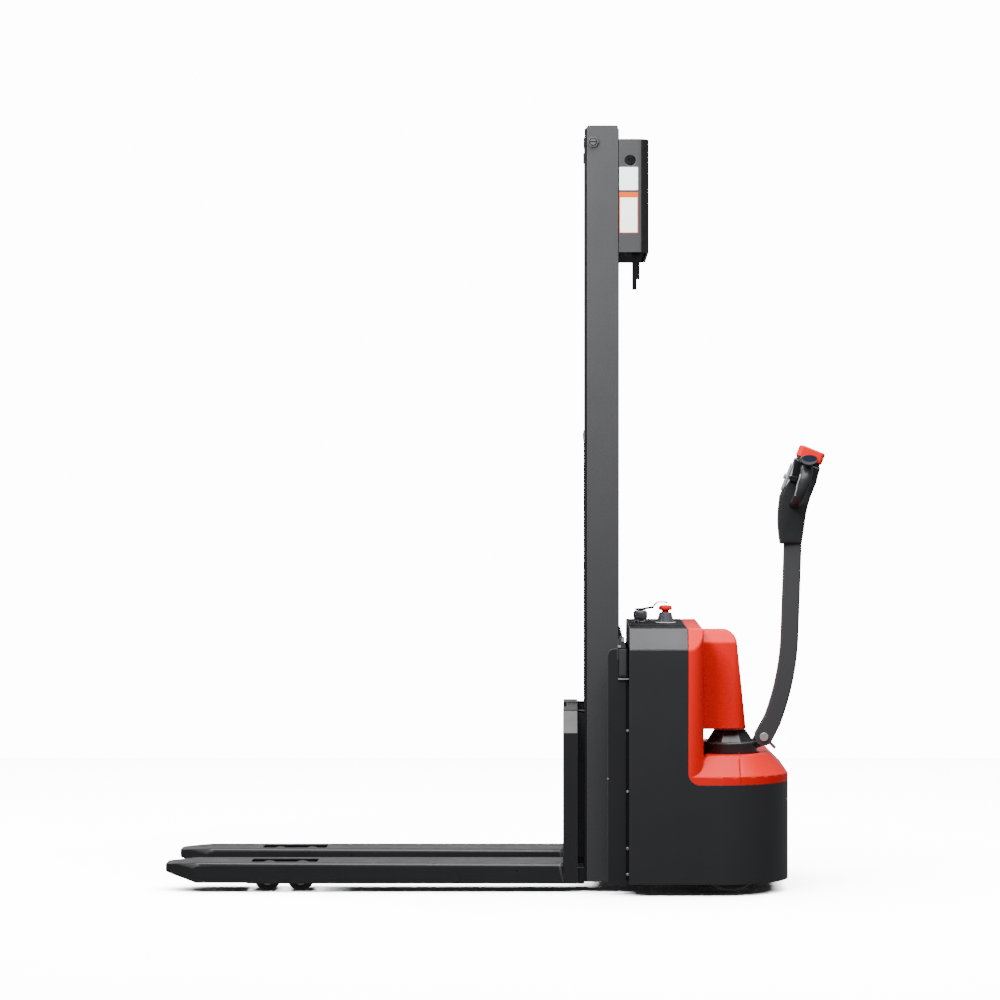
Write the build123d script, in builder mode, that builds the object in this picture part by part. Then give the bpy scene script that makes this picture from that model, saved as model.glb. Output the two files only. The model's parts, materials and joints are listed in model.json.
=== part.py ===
from build123d import *
import os
from math import cos, radians, sin

# Walk-behind mini pallet stacker with base legs under the forks. Millimetres, +Z up, the forks
# towards -X and the tiller towards +X. The origin is on the floor, in the middle of the object.
# Left and right are the operator's, who stands behind the tiller and faces the forks: left is -Y.

os.makedirs("parts", exist_ok=True)

# Clearances
running = 0.05
free_gap = 0.4
panel_gap = 0.8

# Forks
fork_length = 1150.0
fork_width = 170.0
forks_over = 570.0
fork_top_z = 85.0
fork_depth = 58.0
fork_plate = 6.0
nose_length = 92.0
nose_tip_width = 100.0
nose_tip_depth = 22.0
nose_drop = 6.0
nose_corner = 24.0
fork_edge = 14.0
heel_x = 195.7

# Base legs and load wheels
leg_width = 116.0
leg_plate = 6.0
leg_top_z = 70.0
leg_bottom_z = 22.0
leg_nose = 34.0
load_wheel_d = 80.0
load_wheel_width = 84.0
load_wheel_pitch = 96.0
load_wheel_edge = 5.0
load_axle_d = 16.0
wheel_setback = 759.0
wheel_room = 8.0
hub_recess_d = 52.0
hub_recess = 5.0

# Carriage
carriage_depth = 42.0
carriage_height = 533.0
shank_plate = 10.0
shank_rib = 8.0
shank_facet_z = 459.0
shank_facet_rise = 63.0
shank_draw = 45.0
bar_height = 80.0
lower_bar_z = 110.0
upper_bar_z = 440.0
roller_plate = 12.0
roller_plate_gap = 5.0
roller_plate_foot = 10.0
lower_roller_z = 140.0
roller_pitch = 350.0
roller_width = 30.0
roller_axle_d = 28.0

# Mast
mast_gap = 20.0
mast_depth = 100.0
mast_width = 550.0
mast_web = 10.0
mast_flange = 12.0
flange_reach = 50.0
mast_bottom_z = 30.0
mast_top_z = 2211.0
web_rise = 9.0
web_chamfer = 12.0
base_beam_height = 55.0
stop_bolt_drop = 49.0
stop_bolt_back = 25.0
stop_bolt_d = 16.0
stop_nut_flats = 28.0
stop_nut_height = 12.0

# Mast head
crown_bottom_z = 1845.0
crown_top_z = 2172.0
crown_plate = 6.0
crown_depth = 86.0
crown_bend = 32.0
lift_hole_d = 32.0
lift_hole_back = 32.5
lift_hole_drop = 62.0
tie_depth = 72.0
tie_height = 90.0
tie_below = 32.0
tie_wall = 6.0
tie_inset = 56.0
switch_width = 16.0
switch_height = 74.0
switch_back = 34.0
switch_plunger_d = 8.0
switch_plunger_length = 46.0
switch_plunger_nut_d = 13.0
switch_nut_d = 20.0
switch_nut_height = 10.0

# Mast guard
guard_thick = 4.0
guard_bottom_z = 800.0
guard_edge = 5.0

# Lift cylinder and chain
lift_stroke = 1600.0
barrel_d = 52.0
barrel_bore_d = 42.0
barrel_spare = 295.0
gland_d = 60.0
gland_height = 30.0
rod_d = 34.0
rod_foot = 20.0
piston_height = 40.0
rod_show = 40.0
cylinder_forward = 8.0
sheave_pitch_r = 40.0
sheave_rim = 7.0
sheave_width = 24.0
chain_thick = 8.0
chain_width = 16.0
sheave_pin_d = 16.0
cheek = 6.0
yoke_base = 20.0
carriage_anchor_z = 405.0
anchor_plate = 18.0
anchor_bolt_d = 12.0
anchor_bolt_length = 48.0
anchor_nut_flats = 19.0
fixed_anchor_z = 640.0

# Chassis
bulkhead = 10.0
side_flange = 8.0
side_flange_reach = 49.0
chassis_width = 720.0
chassis_top_z = 731.0
flange_corner = 20.0
floor_z = 55.0
floor_plate = 8.0
shelf_z = 290.0
mount_plate_z = 300.0
mount_plate = 12.0
inner_reach = 340.0

# Body, covers and dash
body_back_gap = 8.0
body_width = 792.0
body_bottom_z = 34.0
body_depth = 178.0
body_length = 473.0
skirt_top_z = 317.0
shoulder_z = 703.0
top_rise = 60.0
top_inset = 40.0
rear_corner = 200.0
front_corner = 12.0
inner_corner = 35.0
sheet = 4.0
wall_depth = 45.0
wall_corner = 40.0
deck_top_z = 398.0
deck_bevel = 57.0
deck_bevel_angle = 45.0
seam_back = 327.0
dash_length = 150.0
dash_width = 360.0
dash_thick = 3.0

# Motor bonnet above the steering head
bonnet_width = 144.0
bonnet_bottom_z = 469.0
bonnet_overhang = 44.0
bonnet_slope = 30.0
bonnet_corner = 40.0
bonnet_top_drop = 8.0
bonnet_top_round = 38.0
bonnet_bevel = 34.0

# Key switch and emergency stop
key_back = 48.0
key_barrel_d = 32.0
key_barrel_height = 36.0
key_collar_d = 44.0
key_collar_height = 10.0
key_bow_length = 40.0
key_bow_width = 26.0
key_bow_thick = 6.0
stop_back = 122.0
stop_base_d = 52.0
stop_base_top_d = 36.0
stop_base_height = 30.0
stop_knob_d = 41.0
stop_knob_height = 16.0
stop_stem_d = 22.0
stop_stem_length = 11.0
stop_travel = 6.0

# Steered drive unit and tiller base
steer_back = 305.0
steer_y = -200.0
drive_wheel_d = 220.0
drive_wheel_width = 70.0
drive_hub_d = 150.0
drive_dish_d = 112.0
drive_bolt_ring_d = 78.0
drive_bolts = 5
drive_shaft_d = 36.0
drive_shaft_reach = 25.0
drive_flange_d = 176.0
drive_flange_height = 34.0
slew_ring_width = 30.0
slew_ring_height = 18.0
gearbox_width = 56.0
gearbox_round = 58.0
gearbox_neck = 87.0
gearbox_gap = 6.0
ring_d = 156.0
ring_top_z = 430.0
cone_base_d = 146.0
cone_top_d = 98.0
cone_height = 34.0
cone_sides = 8
ring_wall = 12.0
motor_d = 120.0
motor_height = 96.0
pivot_reach = 97.0
pivot_z = 444.0
tongue_width = 40.0
tongue_round = 24.0
tongue_foot_z = 406.0
pivot_pin_d = 18.0
pin_head = 5.0
pin_head_d = 25.0

# Tiller
ear_thick = 10.0
ear_round = 26.0
arm_width = 50.0
arm_corner = 6.0
arm_foot_reach = 25.0
arm_foot_rise = 47.0
arm_foot_lean = 20.8
arm_bend_r = 780.0
arm_bend_angle = 18.8
arm_top_z = 1030.0
head_foot_z = 1003.0
head_reach = 48.0
head_width = 92.0
head_depth_foot = 70.0
head_depth_mid = 88.0
head_depth_top = 76.0
neck_rise = 138.0
head_rise = 249.0
head_lean_in = 44.0
head_edge = 9.0
cap_tilt = 22.0
cap_height = 34.0
cap_wall = 4.0
cap_boss = 20.0
cap_corner = 12.0
loop_reach = 150.0
loop_back = 58.0
loop_rise = 162.0
loop_height = 112.0
loop_thick = 28.0
loop_depth = 36.0
loop_corner = 44.0
loop_tilt = 15.0
throttle_up = 20.0
throttle_forward = 20.0
throttle_d = 16.0
throttle_paddle = 46.0
throttle_paddle_width = 30.0
throttle_paddle_thick = 14.0
throttle_paddle_gap = 2.0
panel_width = 76.0
panel_height = 84.0
panel_thick = 5.0
panel_corner = 10.0
button_travel = 3.0
button_d = 16.0
button_height = 6.0
button_pitch = 24.0
belly_travel = 8.0
stop_screw_d = 10.0
stop_screw_length = 30.0
stop_screw_flats = 17.0
stop_screw_nut = 8.0

# Side caster
caster_back = 317.0
caster_y = 215.0
caster_wheel_d = 124.0
caster_wheel_width = 38.0
caster_hub_d = 70.0
caster_trail = 36.0
caster_axle_d = 14.0
caster_plate = 10.0
caster_plate_size = 110.0
caster_head_d = 60.0
caster_head_height = 18.0
caster_cheek = 6.0
caster_room = 6.0

# Battery bay
battery_depth = 158.0
battery_width = 320.0
battery_height = 210.0
battery_gap = 12.0
tank_depth = 130.0
tank_width = 300.0
tank_height = 140.0
pump_d = 110.0
pump_length = 160.0
controller_width = 130.0
controller_height = 56.0

# Small fittings on the chassis flanges
latch_width = 22.0
latch_height = 83.0
latch_thick = 9.0
latch_drop = 23.0
screw_d = 9.0
screw_head = 4.0
screw_heights = (62.0, 136.0, 299.0, 473.0)

# Places that follow from the sizes above
fork_y = (forks_over - fork_width) / 2
fork_bottom_z = fork_top_z - fork_depth
tip_x = heel_x - fork_length
nose_x = tip_x + nose_length
rear_wheel_x = heel_x - wheel_setback
front_wheel_x = rear_wheel_x - load_wheel_pitch
load_wheel_r = load_wheel_d / 2
carriage_rear_x = heel_x + carriage_depth
mast_front_x = carriage_rear_x + mast_gap
mast_rear_x = mast_front_x + mast_depth
mast_mid_x = mast_front_x + mast_depth / 2
mast_half = mast_width / 2
flange_tip_y = mast_half - flange_reach
flange_top_z = mast_top_z - web_rise
base_beam_top_z = mast_bottom_z + base_beam_height
carriage_bottom_z = fork_bottom_z
roller_r = (mast_depth - 2 * mast_flange) / 2 - free_gap
upper_roller_z = lower_roller_z + roller_pitch
roller_y = flange_tip_y + (flange_reach - mast_web) / 2
plate_y = flange_tip_y - roller_plate_gap
chassis_rear_x = mast_rear_x + bulkhead
body_front_x = chassis_rear_x + body_back_gap
chassis_half = chassis_width / 2
body_half = body_width / 2
top_z = shoulder_z + top_rise
cover_x = body_front_x + body_depth
rear_x = body_front_x + body_length
wall_rear_x = cover_x + wall_depth
seam_x = body_front_x + seam_back
steer_x = body_front_x + steer_back
pivot_x = steer_x + pivot_reach
drive_wheel_r = drive_wheel_d / 2
flange_seat_z = mount_plate_z + mount_plate
barrel_height = lift_stroke / 2 + barrel_spare
barrel_top_z = base_beam_top_z + barrel_height
gland_top_z = barrel_top_z + gland_height
yoke_z = gland_top_z + rod_show
sheave_r = sheave_pitch_r + sheave_rim
sheave_z = yoke_z + yoke_base + sheave_r + free_gap
cylinder_x = mast_mid_x - cylinder_forward
front_chain_x = cylinder_x - sheave_pitch_r
rear_chain_x = cylinder_x + sheave_pitch_r
caster_x = body_front_x + caster_back
caster_axle_x = caster_x + caster_trail
caster_r = caster_wheel_d / 2
caster_top_z = caster_wheel_d + caster_room + caster_head_height
sides = (("left", -1), ("right", 1))


def save(builder, name):
    """Label a finished piece and write it as one STEP file."""
    builder.part.label = name
    export_step(builder.part, f"parts/{name}.step")


def block(x, y, z, mode=Mode.ADD):
    """A rectangular bar of the part being built, from its low and high places along each axis."""
    with Locations(((x[0] + x[1]) / 2, (y[0] + y[1]) / 2, (z[0] + z[1]) / 2)):
        Box(x[1] - x[0], y[1] - y[0], z[1] - z[0], mode=mode)


def about(middle, width):
    """The low and high place of something that is centred on middle."""
    return (middle - width / 2, middle + width / 2)


def cross_bar(x, y, z, diameter, mode=Mode.ADD):
    """A round bar or bore along Y, from its low to its high place."""
    with Locations(Location((x, (y[0] + y[1]) / 2, z), (90, 0, 0))):
        Cylinder(diameter / 2, y[1] - y[0], mode=mode)


def side_plane(y):
    """A plane seen from the operator's left, with X to the right and Z up, at one place along Y."""
    return Plane.XZ.offset(-y)


# Forks: inverted channels with a closed, tapered nose and a slot over the load wheels
slot_x = (front_wheel_x - load_wheel_r - wheel_room, rear_wheel_x + load_wheel_r + wheel_room)
slot_width = load_wheel_width + 2 * wheel_room
for side, sign in sides:
    y = sign * fork_y
    with BuildPart() as fork:
        with BuildSketch(Plane.YZ.offset(tip_x)):
            with Locations((y, fork_top_z - fork_depth / 2)):
                Rectangle(fork_width, fork_depth)
            fillet(vertices().group_by(Axis.Y)[-1], fork_edge)
        extrude(amount=fork_length)
        with BuildSketch(Plane.XY.offset(fork_bottom_z)):
            with BuildLine():
                Polyline(
                    (heel_x, y - fork_width / 2),
                    (nose_x, y - fork_width / 2),
                    (tip_x, y - nose_tip_width / 2),
                    (tip_x, y + nose_tip_width / 2),
                    (nose_x, y + fork_width / 2),
                    (heel_x, y + fork_width / 2),
                    close=True,
                )
            make_face()
            fillet(vertices().group_by(Axis.X)[0], nose_corner)
        extrude(amount=fork_depth, mode=Mode.INTERSECT)
        with BuildSketch(side_plane(y)):
            with BuildLine():
                Polyline(
                    (heel_x, fork_bottom_z),
                    (heel_x, fork_top_z),
                    (nose_x, fork_top_z),
                    (tip_x, fork_top_z - nose_drop),
                    (tip_x, fork_top_z - nose_drop - nose_tip_depth),
                    (nose_x, fork_bottom_z),
                    close=True,
                )
            make_face()
        extrude(amount=fork_width, both=True, mode=Mode.INTERSECT)
        with BuildSketch(Plane.YZ.offset(nose_x)):
            with Locations((y, (fork_bottom_z + fork_top_z - fork_plate) / 2)):
                Rectangle(fork_width - 2 * fork_plate, fork_depth - fork_plate)
            fillet(vertices().group_by(Axis.Y)[-1], max(fork_edge - fork_plate, fork_plate / 2))
        extrude(amount=heel_x - nose_x, mode=Mode.SUBTRACT)
        block(slot_x, about(y, slot_width), (fork_bottom_z, fork_top_z), mode=Mode.SUBTRACT)
    save(fork, f"{side}_fork")

# Base legs: inverted channels that stay on the floor, with the load wheels between their sides
leg_tip_x = front_wheel_x - load_wheel_r - leg_nose
for side, sign in sides:
    y = sign * fork_y
    with BuildPart() as leg:
        with BuildSketch(side_plane(y)):
            with BuildLine():
                Polyline(
                    (mast_front_x, leg_bottom_z),
                    (mast_front_x, leg_top_z),
                    (leg_tip_x + leg_nose / 2, leg_top_z),
                    (leg_tip_x, (leg_top_z + leg_bottom_z) / 2),
                    (leg_tip_x + leg_nose / 2, leg_bottom_z),
                    close=True,
                )
            make_face()
        extrude(amount=leg_width / 2, both=True)
        inside = about(y, leg_width - 2 * leg_plate)
        hollow_x = (leg_tip_x + leg_nose / 2 + leg_plate, mast_front_x - leg_plate)
        block(hollow_x, inside, (leg_bottom_z, leg_top_z - leg_plate), mode=Mode.SUBTRACT)
        block(slot_x, inside, (leg_bottom_z, leg_top_z), mode=Mode.SUBTRACT)
        for wheel_x in (front_wheel_x, rear_wheel_x):
            cross_bar(wheel_x, about(y, leg_width), load_wheel_r, load_axle_d, mode=Mode.SUBTRACT)
    save(leg, f"{side}_leg")

with BuildPart() as load_axles:
    for side, sign in sides:
        for wheel_x in (front_wheel_x, rear_wheel_x):
            cross_bar(wheel_x, about(sign * fork_y, leg_width), load_wheel_r, load_axle_d)
save(load_axles, "load_wheel_axles")

for side, sign in sides:
    for place, wheel_x in (("front", front_wheel_x), ("rear", rear_wheel_x)):
        wheel_y = about(sign * fork_y, load_wheel_width)
        with BuildPart() as load_wheel:
            cross_bar(wheel_x, wheel_y, load_wheel_r, load_wheel_d)
            fillet(edges().filter_by(GeomType.CIRCLE), load_wheel_edge)
            for face_y in (wheel_y[0] + hub_recess / 2, wheel_y[1] - hub_recess / 2):
                recess = about(face_y, hub_recess)
                cross_bar(wheel_x, recess, load_wheel_r, hub_recess_d, mode=Mode.SUBTRACT)
            bore_d = load_axle_d + 2 * running
            cross_bar(wheel_x, wheel_y, load_wheel_r, bore_d, mode=Mode.SUBTRACT)
        save(load_wheel, f"{side}_{place}_load_wheel")

# Mast uprights: channels with the web outwards, the web standing a little above the flanges
for side, sign in sides:
    web_y = sign * mast_half
    with BuildPart() as upright:
        with BuildSketch(Plane.XY.offset(mast_bottom_z)):
            with BuildLine():
                Polyline(
                    (mast_front_x, web_y),
                    (mast_rear_x, web_y),
                    (mast_rear_x, sign * flange_tip_y),
                    (mast_rear_x - mast_flange, sign * flange_tip_y),
                    (mast_rear_x - mast_flange, web_y - sign * mast_web),
                    (mast_front_x + mast_flange, web_y - sign * mast_web),
                    (mast_front_x + mast_flange, sign * flange_tip_y),
                    (mast_front_x, sign * flange_tip_y),
                    close=True,
                )
            make_face()
        extrude(amount=mast_top_z - mast_bottom_z)
        flange_y = sorted((sign * flange_tip_y, web_y - sign * mast_web))
        block((mast_front_x, mast_rear_x), flange_y, (flange_top_z, mast_top_z), mode=Mode.SUBTRACT)
        web_corners = edges().filter_by(Axis.Y).group_by(Axis.Z)[-1]
        chamfer(web_corners, min(web_chamfer, mast_depth / 3))
        bolt_x = mast_front_x + stop_bolt_back
        bolt_z = mast_top_z - stop_bolt_drop
        bolt_y = sorted((web_y, web_y - sign * mast_web))
        cross_bar(bolt_x, bolt_y, bolt_z, stop_bolt_d, mode=Mode.SUBTRACT)
    save(upright, f"{side}_upright")

# Carriage stop bolts through the tops of the webs, with a hexagon nut outside
with BuildPart() as stop_bolts:
    for side, sign in sides:
        bolt_x = mast_front_x + stop_bolt_back
        bolt_z = mast_top_z - stop_bolt_drop
        inner_y = mast_half - mast_web - roller_width / 2
        shank_y = sorted((sign * inner_y, sign * (mast_half + stop_nut_height)))
        cross_bar(bolt_x, shank_y, bolt_z, stop_bolt_d)
        with BuildSketch(side_plane(sign * mast_half)):
            with Locations((bolt_x, bolt_z)):
                RegularPolygon(stop_nut_flats / 2, 6, major_radius=False)
        extrude(amount=-sign * stop_nut_height)
save(stop_bolts, "carriage_stop_bolts")

with BuildPart() as base_beam:
    with BuildSketch(Plane.XZ.offset(-flange_tip_y)):
        with Locations((mast_mid_x, mast_bottom_z + base_beam_height / 2)):
            Rectangle(mast_depth, base_beam_height)
    extrude(amount=2 * flange_tip_y)
save(base_beam, "base_beam")

# Fork carriage: a shank behind each fork, two cross bars and two plates that carry the rollers
carriage_top_z = carriage_bottom_z + carriage_height
with BuildPart() as carriage:
    for side, sign in sides:
        y = sign * fork_y
        outer_y = sign * forks_over / 2
        drawn_y = outer_y - sign * shank_draw
        inner_y = y - sign * fork_width / 2
        with BuildSketch(Plane.YZ.offset(heel_x)) as shank:
            with BuildLine():
                Polyline(
                    (inner_y, carriage_bottom_z),
                    (outer_y, carriage_bottom_z),
                    (outer_y, shank_facet_z),
                    (drawn_y, shank_facet_z + shank_facet_rise),
                    (drawn_y, carriage_top_z),
                    (inner_y, carriage_top_z),
                    close=True,
                )
            make_face()
        extrude(amount=carriage_depth)
        with BuildSketch(Plane.YZ.offset(heel_x + shank_plate)):
            add(shank.sketch_local)
            offset(amount=-shank_rib, kind=Kind.INTERSECTION, mode=Mode.REPLACE)
        extrude(amount=carriage_depth, mode=Mode.SUBTRACT)
        leg_room = about(y, fork_width - 2 * fork_plate)
        notch_z = (carriage_bottom_z, fork_top_z - fork_plate)
        block((heel_x, carriage_rear_x), leg_room, notch_z, mode=Mode.SUBTRACT)
    top_corners = edges().filter_by(Axis.Y).group_by(Axis.Z)[-1].group_by(Axis.X)[0]
    fillet(top_corners, min(front_corner, 0.8 * shank_plate))
    for bar_z, bar_end in ((lower_bar_z, shank_rib), (upper_bar_z, shank_draw + shank_rib)):
        bar_y = about(0, forks_over - 2 * bar_end)
        block((heel_x + shank_plate, carriage_rear_x), bar_y, (bar_z, bar_z + bar_height))
    for side, sign in sides:
        with BuildSketch(side_plane(sign * plate_y)):
            with BuildLine():
                Polyline(
                    (carriage_rear_x - roller_plate_foot, base_beam_top_z + roller_plate_foot),
                    (mast_mid_x, base_beam_top_z + roller_plate_foot),
                    (mast_mid_x + roller_r / 2, lower_roller_z),
                    (mast_mid_x + roller_r / 2, upper_roller_z),
                    (mast_mid_x, upper_roller_z + roller_r),
                    (carriage_rear_x - roller_plate_foot, upper_roller_z + roller_r),
                    close=True,
                )
            make_face()
        extrude(amount=sign * roller_plate)
        for roller_z in (lower_roller_z, upper_roller_z):
            bore_y = sorted((sign * plate_y, sign * (plate_y - roller_plate)))
            cross_bar(mast_mid_x, bore_y, roller_z, roller_axle_d, mode=Mode.SUBTRACT)
    anchor_x = (carriage_rear_x - roller_plate_foot, front_chain_x + anchor_bolt_d)
    anchor_z = (carriage_anchor_z, carriage_anchor_z + anchor_plate)
    block(anchor_x, about(0, 2 * chain_width), anchor_z)
    block(
        (carriage_rear_x - roller_plate_foot, carriage_rear_x),
        about(0, 2 * chain_width),
        (carriage_anchor_z, upper_bar_z + bar_height / 2),
    )
    with BuildSketch(Plane((front_chain_x, 0, carriage_anchor_z))):
        Circle(anchor_bolt_d / 2)
    extrude(amount=-anchor_bolt_length)
    with BuildSketch(Plane((front_chain_x, 0, carriage_anchor_z))):
        RegularPolygon(anchor_nut_flats / 2, 6, major_radius=False)
    extrude(amount=-anchor_bolt_d)
save(carriage, "fork_carriage")

with BuildPart() as roller_axles:
    for side, sign in sides:
        for roller_z in (lower_roller_z, upper_roller_z):
            inner_y = plate_y - roller_plate
            outer_y = roller_y + roller_width / 2
            axle_y = sorted((sign * inner_y, sign * outer_y))
            cross_bar(mast_mid_x, axle_y, roller_z, roller_axle_d)
save(roller_axles, "roller_axles")

for place, roller_z in (("lower", lower_roller_z), ("upper", upper_roller_z)):
    with BuildPart() as rollers:
        for side, sign in sides:
            width = about(sign * roller_y, roller_width)
            cross_bar(mast_mid_x, width, roller_z, 2 * roller_r)
            bore_d = roller_axle_d + 2 * running
            cross_bar(mast_mid_x, width, roller_z, bore_d, mode=Mode.SUBTRACT)
    save(rollers, f"{place}_mast_rollers")

# Mast head: a bent plate behind the uprights, with a lifting hole in each end
crown_y = mast_half - crown_plate / 2
crown_rear_x = mast_rear_x + crown_depth - crown_plate / 2
with BuildPart() as mast_head:
    with BuildSketch(Plane.XY.offset(crown_bottom_z)):
        with BuildLine():
            FilletPolyline(
                (mast_rear_x, -crown_y),
                (crown_rear_x, -crown_y),
                (crown_rear_x, crown_y),
                (mast_rear_x, crown_y),
                radius=crown_bend,
            )
        trace(line_width=crown_plate)
    extrude(amount=crown_top_z - crown_bottom_z)
    lift_hole_x = mast_rear_x + lift_hole_back
    lift_hole_z = crown_top_z - lift_hole_drop
    cross_bar(lift_hole_x, about(0, 2 * mast_width), lift_hole_z, lift_hole_d, mode=Mode.SUBTRACT)
save(mast_head, "mast_head")

# Tie between the tops of the uprights, a box section inside the mast head
tie_bottom_z = crown_bottom_z - tie_below
tie_y = about(0, mast_width - 2 * tie_inset)
with BuildPart() as top_tie:
    block((mast_rear_x, mast_rear_x + tie_depth), tie_y, (tie_bottom_z, tie_bottom_z + tie_height))
    hollow_x = (mast_rear_x + tie_wall, mast_rear_x + tie_depth - tie_wall)
    hollow_z = (tie_bottom_z + tie_wall, tie_bottom_z + tie_height - tie_wall)
    block(hollow_x, tie_y, hollow_z, mode=Mode.SUBTRACT)
    for side, sign in sides:
        end_y = sorted((sign * tie_y[1], sign * (mast_half - crown_plate)))
        end_x = (mast_rear_x, mast_rear_x + tie_depth / 3)
        block(end_x, end_y, (tie_bottom_z, tie_bottom_z + tie_height))
save(top_tie, "mast_top_tie")

# Height limit switch that hangs from the tie, near its left end
switch_x = mast_rear_x + switch_back
switch_y = tie_y[0] + 2 * switch_width
with BuildPart() as limit_switch:
    with BuildSketch(Plane.XY.offset(tie_bottom_z)):
        with Locations((switch_x, switch_y)):
            RegularPolygon(switch_nut_d / 2, 6, major_radius=False)
    extrude(amount=-switch_nut_height)
    with BuildSketch(Plane.XY.offset(tie_bottom_z - switch_nut_height)):
        with Locations((switch_x, switch_y)):
            RectangleRounded(switch_width, switch_width, switch_width / 5)
    extrude(amount=-switch_height)
    chamfer(edges().group_by(Axis.Z)[0], switch_width / 8)
    plunger_x = switch_x + switch_nut_d + switch_plunger_d / 2
    with BuildSketch(Plane.XY.offset(tie_bottom_z)):
        with Locations((plunger_x, switch_y)):
            Circle(switch_plunger_nut_d / 2)
    extrude(amount=-switch_nut_height)
    with BuildSketch(Plane.XY.offset(tie_bottom_z - switch_nut_height)):
        with Locations((plunger_x, switch_y)):
            Circle(switch_plunger_d / 2)
    extrude(amount=-switch_plunger_length)
save(limit_switch, "limit_switch")

# Clear guard between the rear flanges of the uprights
with BuildPart() as guard:
    guard_x = about(mast_rear_x - mast_flange / 2, guard_thick)
    guard_y = about(0, 2 * flange_tip_y)
    block(guard_x, guard_y, (guard_bottom_z, crown_bottom_z - tie_below))
    fillet(edges().filter_by(Axis.X), guard_edge)
save(guard, "mast_guard")

# Lift cylinder, on the base beam
cylinder_axis = Plane((cylinder_x, 0, base_beam_top_z))
with BuildPart() as barrel:
    with BuildSketch(cylinder_axis):
        Circle(barrel_d / 2)
    extrude(amount=barrel_height)
    with BuildSketch(cylinder_axis.offset(rod_foot)):
        Circle(barrel_bore_d / 2)
    extrude(amount=barrel_height, mode=Mode.SUBTRACT)
    with BuildSketch(cylinder_axis.offset(barrel_height)):
        Circle(gland_d / 2)
        Circle(rod_d / 2 + running, mode=Mode.SUBTRACT)
    extrude(amount=gland_height)
    chamfer(edges().group_by(Axis.Z)[-1].sort_by(SortBy.LENGTH)[-1], gland_height / 6)
save(barrel, "lift_barrel")

rod_base_z = base_beam_top_z + 2 * rod_foot
with BuildPart() as piston_rod:
    with BuildSketch(Plane((cylinder_x, 0, rod_base_z))):
        Circle(barrel_bore_d / 2 - running)
    extrude(amount=piston_height)
    with BuildSketch(Plane((cylinder_x, 0, rod_base_z))):
        Circle(rod_d / 2)
    extrude(amount=yoke_z - rod_base_z)
save(piston_rod, "piston_rod")

# Yoke on the rod, with the chain sheave between its cheeks
cheek_y = sheave_width / 2 + free_gap
with BuildPart() as yoke:
    yoke_y = about(0, 2 * (cheek_y + cheek))
    block(about(cylinder_x, rod_d), yoke_y, (yoke_z, yoke_z + yoke_base))
    for side, sign in sides:
        with BuildSketch(side_plane(sign * cheek_y)):
            with Locations((cylinder_x, sheave_z)):
                Circle(rod_d / 2)
            with Locations((cylinder_x, (yoke_z + yoke_base + sheave_z) / 2)):
                Rectangle(rod_d, sheave_z - yoke_z - yoke_base)
        extrude(amount=-sign * cheek)
    cross_bar(cylinder_x, yoke_y, sheave_z, sheave_pin_d)
save(yoke, "sheave_yoke")

groove_r = sheave_pitch_r - chain_thick / 2 - free_gap
with BuildPart() as sheave:
    cross_bar(cylinder_x, about(0, sheave_width), sheave_z, 2 * sheave_r)
    groove_y = about(0, chain_width + 2 * free_gap)
    with BuildSketch(side_plane(groove_y[0])):
        with Locations((cylinder_x, sheave_z)):
            Circle(sheave_r)
            Circle(groove_r, mode=Mode.SUBTRACT)
    extrude(amount=-(groove_y[1] - groove_y[0]), mode=Mode.SUBTRACT)
    bore_d = sheave_pin_d + 2 * running
    cross_bar(cylinder_x, about(0, sheave_width), sheave_z, bore_d, mode=Mode.SUBTRACT)
save(sheave, "chain_sheave")

# Leaf chain: over the sheave, down to the carriage in front and to the fixed anchor behind
with BuildPart() as chain_wrap:
    with BuildSketch(side_plane(-chain_width / 2)):
        with Locations((cylinder_x, sheave_z)):
            Circle(sheave_pitch_r + chain_thick / 2)
            Circle(sheave_pitch_r - chain_thick / 2, mode=Mode.SUBTRACT)
        with Locations((cylinder_x, sheave_z - sheave_r / 2)):
            Rectangle(2 * sheave_r, sheave_r, mode=Mode.SUBTRACT)
    extrude(amount=-chain_width)
save(chain_wrap, "chain_over_sheave")

front_chain_z = (carriage_anchor_z + anchor_plate, sheave_z)
with BuildPart() as front_chain:
    block(about(front_chain_x, chain_thick), about(0, chain_width), front_chain_z)
save(front_chain, "front_chain")

rear_chain_z = (fixed_anchor_z + anchor_plate, sheave_z)
with BuildPart() as rear_chain:
    block(about(rear_chain_x, chain_thick), about(0, chain_width), rear_chain_z)
save(rear_chain, "rear_chain")

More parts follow.
